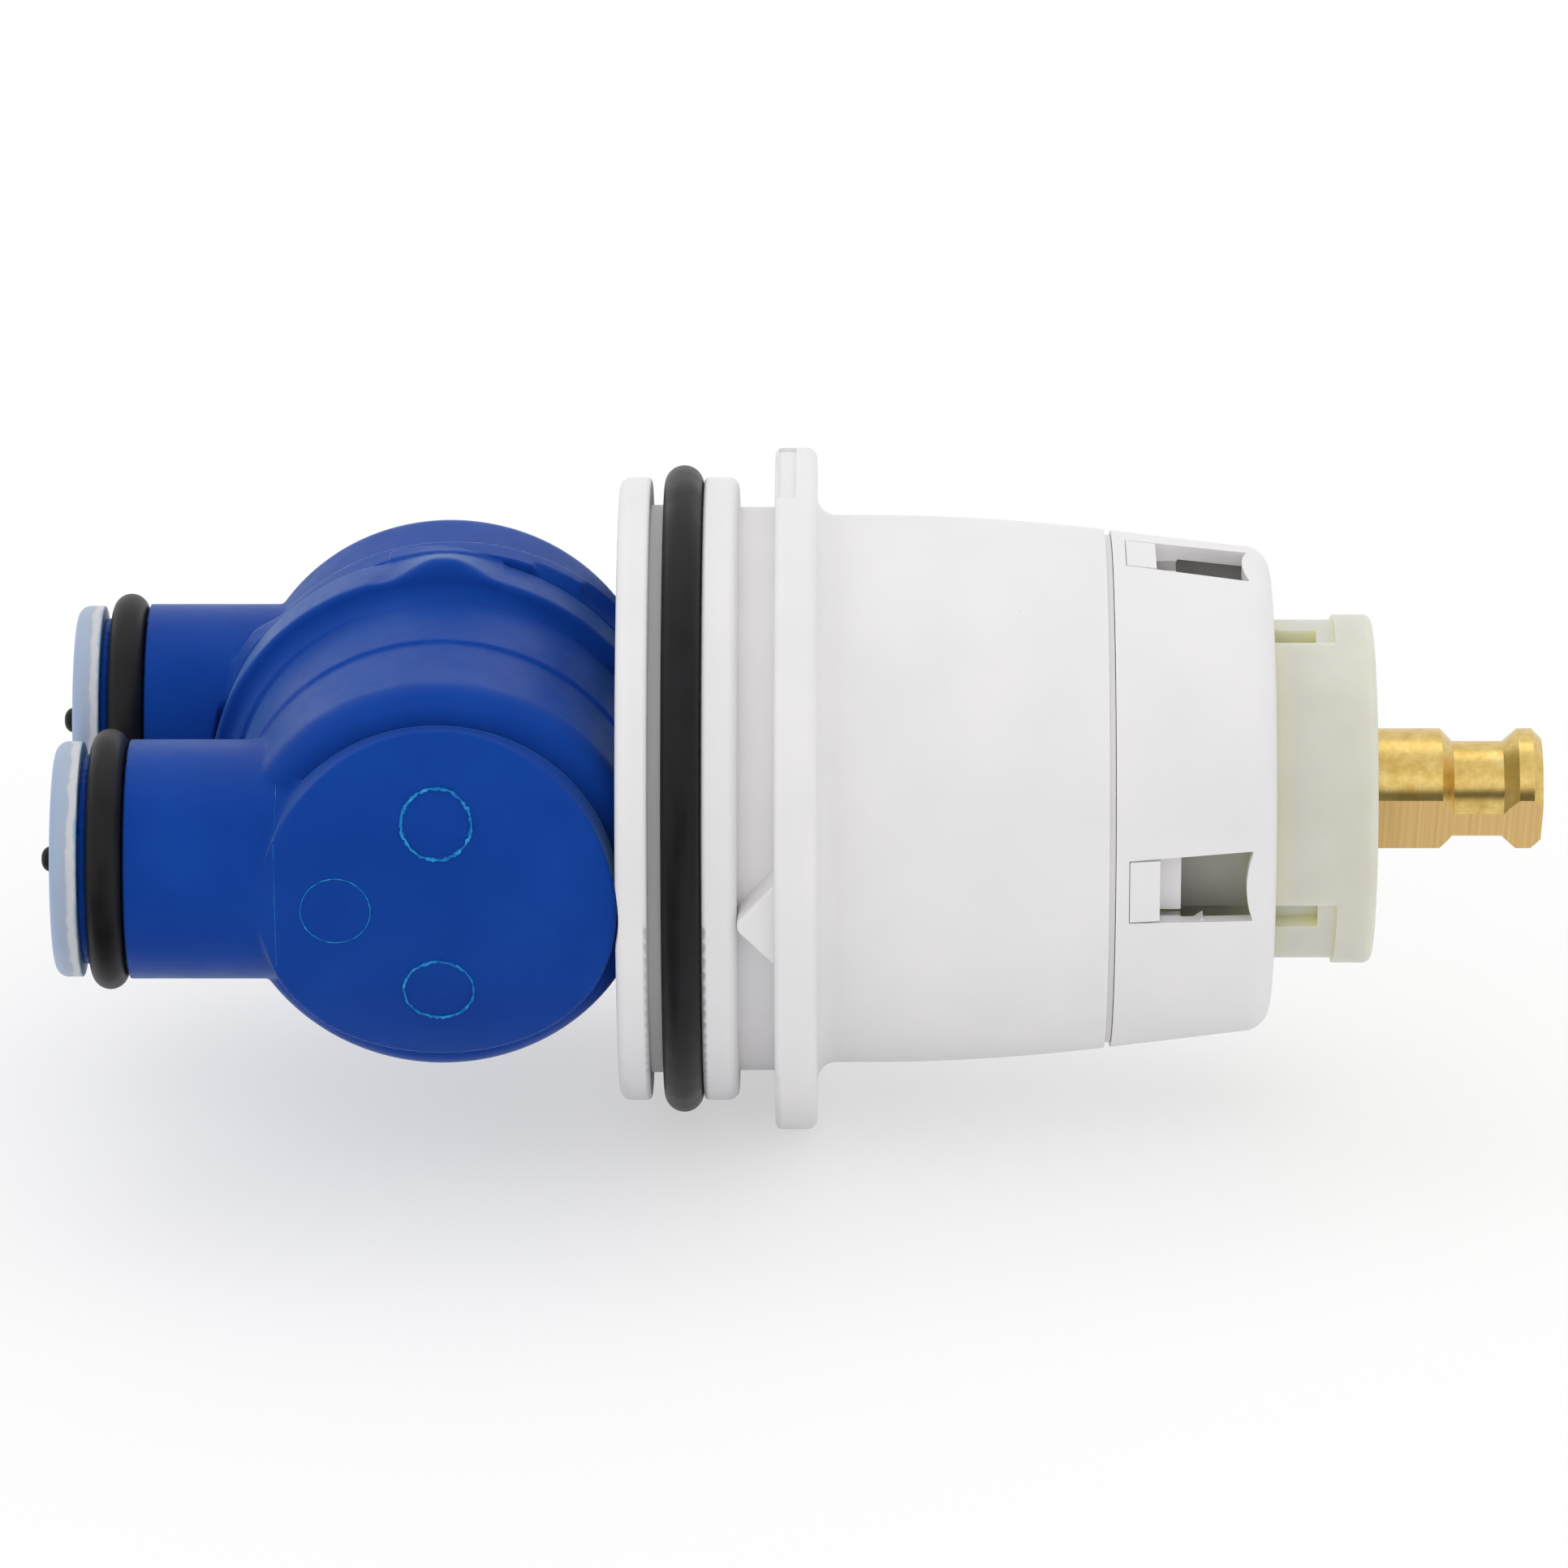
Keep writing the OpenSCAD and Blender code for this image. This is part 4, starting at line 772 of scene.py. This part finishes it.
def turned_bead(name, hand):
    low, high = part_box("check_cage_" + hand)
    faces = []
    for k in range(bead_sides):
        after = (k + 1) % bead_sides
        faces.append((0, 1 + k, 1 + after))
        for i in range(bead_rows - 1):
            a = 1 + i * bead_sides
            faces.append((a + k, a + bead_sides + k, a + bead_sides + after, a + after))
    last = 1 + (bead_rows - 1) * bead_sides
    faces.append(tuple(range(last + bead_sides - 1, last - 1, -1)))
    bead = mesh_object(name, bead_points(low.x / MM, (low.y + high.y) / 2 / MM), faces)
    shade_round(bead)
    bead.data.materials.append(FINISH["seal_rubber"])
    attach(bead, "valve")


for hand in ("left", "right"):
    turned_bead("umbrella_bead_" + hand, hand)
print("beads stand", bead_proud_mm, "mm proud of their cages")

# %% [markdown]
# ## The keys on the flange
# Two keys on the seating side of the flange turn the cartridge the right way round in its body. Each is a
# blunt point that leans on the rear lip. Its outline is drawn once, flat, and pushed out from the neck to
# the key's round top. A bevel would break the edges, but the housings' way does it too: a fine net, relaxed.

# %% The outline of a key
key_wide_mm, key_long_mm, key_reach_mm, key_tip_mm, key_from_mm = 6.4, 2.7, 23.8, 0.9, 20.3
key_behind_mm, tip_steps, side_steps = 0.3, 8, 12


def key_outline():
    """Points round a key, x along the cartridge and z across, close enough to bend its top."""
    tip_turns = [math.radians(-45 + 90 * i / tip_steps) for i in range(tip_steps + 1)]
    outline = [(key_behind_mm, -key_wide_mm / 2), (0.0, -key_wide_mm / 2)]
    outline += [(-key_long_mm + key_tip_mm * (1 - math.cos(t)), key_tip_mm * math.sin(t)) for t in tip_turns]
    outline += [(0.0, key_wide_mm / 2), (key_behind_mm, key_wide_mm / 2)]
    ring = []
    for (x0, z0), (x1, z1) in zip(outline, outline[1:] + outline[:1]):
        for i in range(side_steps):
            ring.append((x0 + (x1 - x0) * i / side_steps, z0 + (z1 - z0) * i / side_steps))
    return ring


print("points round a key:", len(key_outline()))

# %% The flange keys
key_net_mm, key_passes = 0.12, 4


def flange_key(name, side):
    ring = key_outline()
    count = len(ring)
    points = [(x, side * key_from_mm, z) for x, z in ring]
    points += [(x, side * math.sqrt(key_reach_mm ** 2 - z * z), z) for x, z in ring]
    faces = [(i, (i + 1) % count, count + (i + 1) % count, count + i) for i in range(count)]
    faces += [tuple(range(count))[::-1], tuple(range(count, 2 * count))]
    key = mesh_object(name, points, faces)
    wrap_in_net(key, key_net_mm)
    smooth = key.modifiers.new("rounded", "SMOOTH")
    smooth.iterations = key_passes
    apply_modifiers(key)
    shade_round(key)
    key.data.materials.append(FINISH["white_body"])
    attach(key, "valve")


for side, name in ((-1, "flange_key_left"), (1, "flange_key_right")):
    flange_key(name, side)
print("flange keys reach", key_reach_mm, "mm from the axis")

# %% [markdown]
# ## The studio
# The picture is a catalogue shot: the part on white, lit from all round with a soft light from above. The
# floor is a pale sheet that the flange rests on. For the camera, and for what mirrors the sheet, half of
# its brightness is a light of its own, so that it reads as white paper with a faint shadow, while the
# lamps stay at a level at which a colour looks as it is written. All other rays see plain paper.

# %% The floor
floor_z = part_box("valve_body")[0].z
floor_wide_mm = 30000


def picture_rays(tree):
    """1 for the camera's rays and for those that are mirrored or come through, and 0 for all others."""
    ray = add(tree, "LightPath")
    seen = add(tree, "Math", {0: ray.outputs["Is Camera Ray"], 1: ray.outputs["Is Glossy Ray"]},
               operation="MAXIMUM")
    seen = add(tree, "Math", {0: seen.outputs["Value"], 1: ray.outputs["Is Transmission Ray"]},
               operation="MAXIMUM")
    return seen.outputs["Value"]


def paper_sheet():
    material, tree, output = new_material("paper_sheet")[:3]
    sheet = add(tree, "BsdfDiffuse", {"Color": linear("#f2f2f2")})
    lit_sheet = add(tree, "BsdfDiffuse", {"Color": linear("#bbbbbb")})
    light = add(tree, "Emission", {"Strength": 0.5})
    both = add(tree, "AddShader", {0: lit_sheet.outputs["BSDF"], 1: light.outputs["Emission"]})
    either = add(tree, "MixShader", {0: picture_rays(tree), 1: sheet.outputs["BSDF"],
                                     2: both.outputs["Shader"]})
    tree.links.new(either.outputs["Shader"], output.inputs["Surface"])
    return material


bpy.ops.mesh.primitive_plane_add(size=floor_wide_mm * MM, location=(0, 0, floor_z))
floor = bpy.context.object
floor.name = "floor"
floor.data.materials.append(paper_sheet())
floor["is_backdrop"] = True
print("floor at", round(floor_z / MM, 2), "mm")

# %% The world
room_strength, picture_strength = 0.92, 1.0
world = bpy.data.worlds.new("studio")
bpy.context.scene.world = world
world.use_nodes = True
tree = world.node_tree
tree.nodes.clear()
room = add(tree, "Background", {"Color": linear("#ffffff"), "Strength": room_strength})
white = add(tree, "Background", {"Color": linear("#ffffff"), "Strength": picture_strength})
mix = add(tree, "MixShader", {0: picture_rays(tree), 1: room.outputs["Background"],
                              2: white.outputs["Background"]})
add(tree, "OutputWorld", {"Surface": mix.outputs["Shader"]})
print("the room lights the part at", room_strength)


# %% The lamps
def softbox(name, place_mm, size_mm, watts):
    """A square area lamp that faces the origin."""
    lamp = bpy.data.lights.new(name, "AREA")
    lamp.shape = "RECTANGLE"
    lamp.size, lamp.size_y = (edge * MM for edge in size_mm)
    lamp.energy = watts
    holder = bpy.data.objects.new(name, lamp)
    bpy.context.scene.collection.objects.link(holder)
    holder.location = Vector(place_mm) * MM
    holder.rotation_euler = (-holder.location).to_track_quat("-Z", "Y").to_euler()
    print(name, "gives", watts, "W from", round(holder.location.length, 2), "m")


softbox("lamp_above", (-40, 230, 580), (700, 280), 0.4)
softbox("lamp_front", (-150, -520, 420), (600, 400), 0.25)

# %% [markdown]
# ## Dark cards
# Two dark cards paint dark reflections. Only mirroring rays see them, and they cast no shadow: the camera
# sees a white room and floor. One stands far behind the camera and paints the olive band along the brass;
# the other lies on the floor in front of the blue unit, so that its face mirrors dark and shows its own
# colour. Photographers hold up black cards for a like effect.

# %% Two cards
card_lift_mm = 0.5
low_card_z_mm = floor_z / MM + card_lift_mm


def dark_reflection_material():
    material, tree, output = new_material("dark_reflection_card")[:3]
    # The dark colour of the painted reflections.
    reflected_dark = add(tree, "BsdfDiffuse", {"Color": linear("#3a3630")})
    tree.links.new(reflected_dark.outputs["BSDF"], output.inputs["Surface"])
    return material


def reflection_only_card(name, x_mm, y_mm, z_mm, reflected_dark):
    """A card between two corners, which mirroring rays alone see: a painted dark reflection."""
    corners = [(x_mm[i], y_mm[j], z_mm[j]) for i, j in ((0, 0), (1, 0), (1, 1), (0, 1))]
    card = mesh_object(name, corners, [(0, 1, 2, 3)])
    card.data.materials.append(reflected_dark)
    for ray in ("camera", "diffuse", "transmission", "volume_scatter", "shadow"):
        setattr(card, "visible_" + ray, False)
    card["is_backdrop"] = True


dark_reflection_card = dark_reflection_material()
# Painted reflections: these cards darken what the brass and the blue face mirror.
reflection_only_card("dark_reflection_room", (-900, 900), (-1100, -1100), (-20, 430), dark_reflection_card)
reflection_only_card("dark_reflection_floor", (-160, -14), (-24, -900), (low_card_z_mm, low_card_z_mm), dark_reflection_card)
print("the card on the table lies at", round(low_card_z_mm, 2), "mm")

# %% [markdown]
# ## The camera
# The picture fits a camera 0.75 m away and 25 degrees above the part's axis, with a long lens. The lens
# follows from how many pixels a millimetre takes at that distance. The photograph is a crop, so its
# middle isn't where the lens looked: the lens shift makes up for that, and stays small.

# %% Camera
PICTURE_PX = 1932
px_per_mm = 16.52
distance_mm = 750
elevation = math.radians(25)
aim_mm = Vector((4.84, 0, 0))
aim_px = (1036, 971.5)
back = Vector((0, -math.cos(elevation), math.sin(elevation)))

lens = bpy.data.cameras.new("camera")
lens.sensor_width = 36
lens.lens = lens.sensor_width * px_per_mm * distance_mm / PICTURE_PX
lens.shift_x = (PICTURE_PX / 2 - aim_px[0]) / PICTURE_PX
lens.shift_y = (aim_px[1] - PICTURE_PX / 2) / PICTURE_PX
lens.clip_start = 10 * MM
lens.clip_end = 50
camera = bpy.data.objects.new("camera", lens)
bpy.context.scene.collection.objects.link(camera)
camera.location = (aim_mm + back * distance_mm) * MM
camera.rotation_mode = "QUATERNION"
camera.rotation_quaternion = (-back).to_track_quat("-Z", "Y")
bpy.context.scene.camera = camera
bpy.context.scene.view_settings.view_transform = "Standard"
print("lens", round(lens.lens, 1), "mm, shift", round(lens.shift_x, 4), round(lens.shift_y, 4))

# %% Sizes, and the closing line
sizes = {"cad": cad_box, "visual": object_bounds()}
for name, (low, high) in sizes.items():
    print(name, "box, mm:", [round(side / MM, 2) for side in high - low])
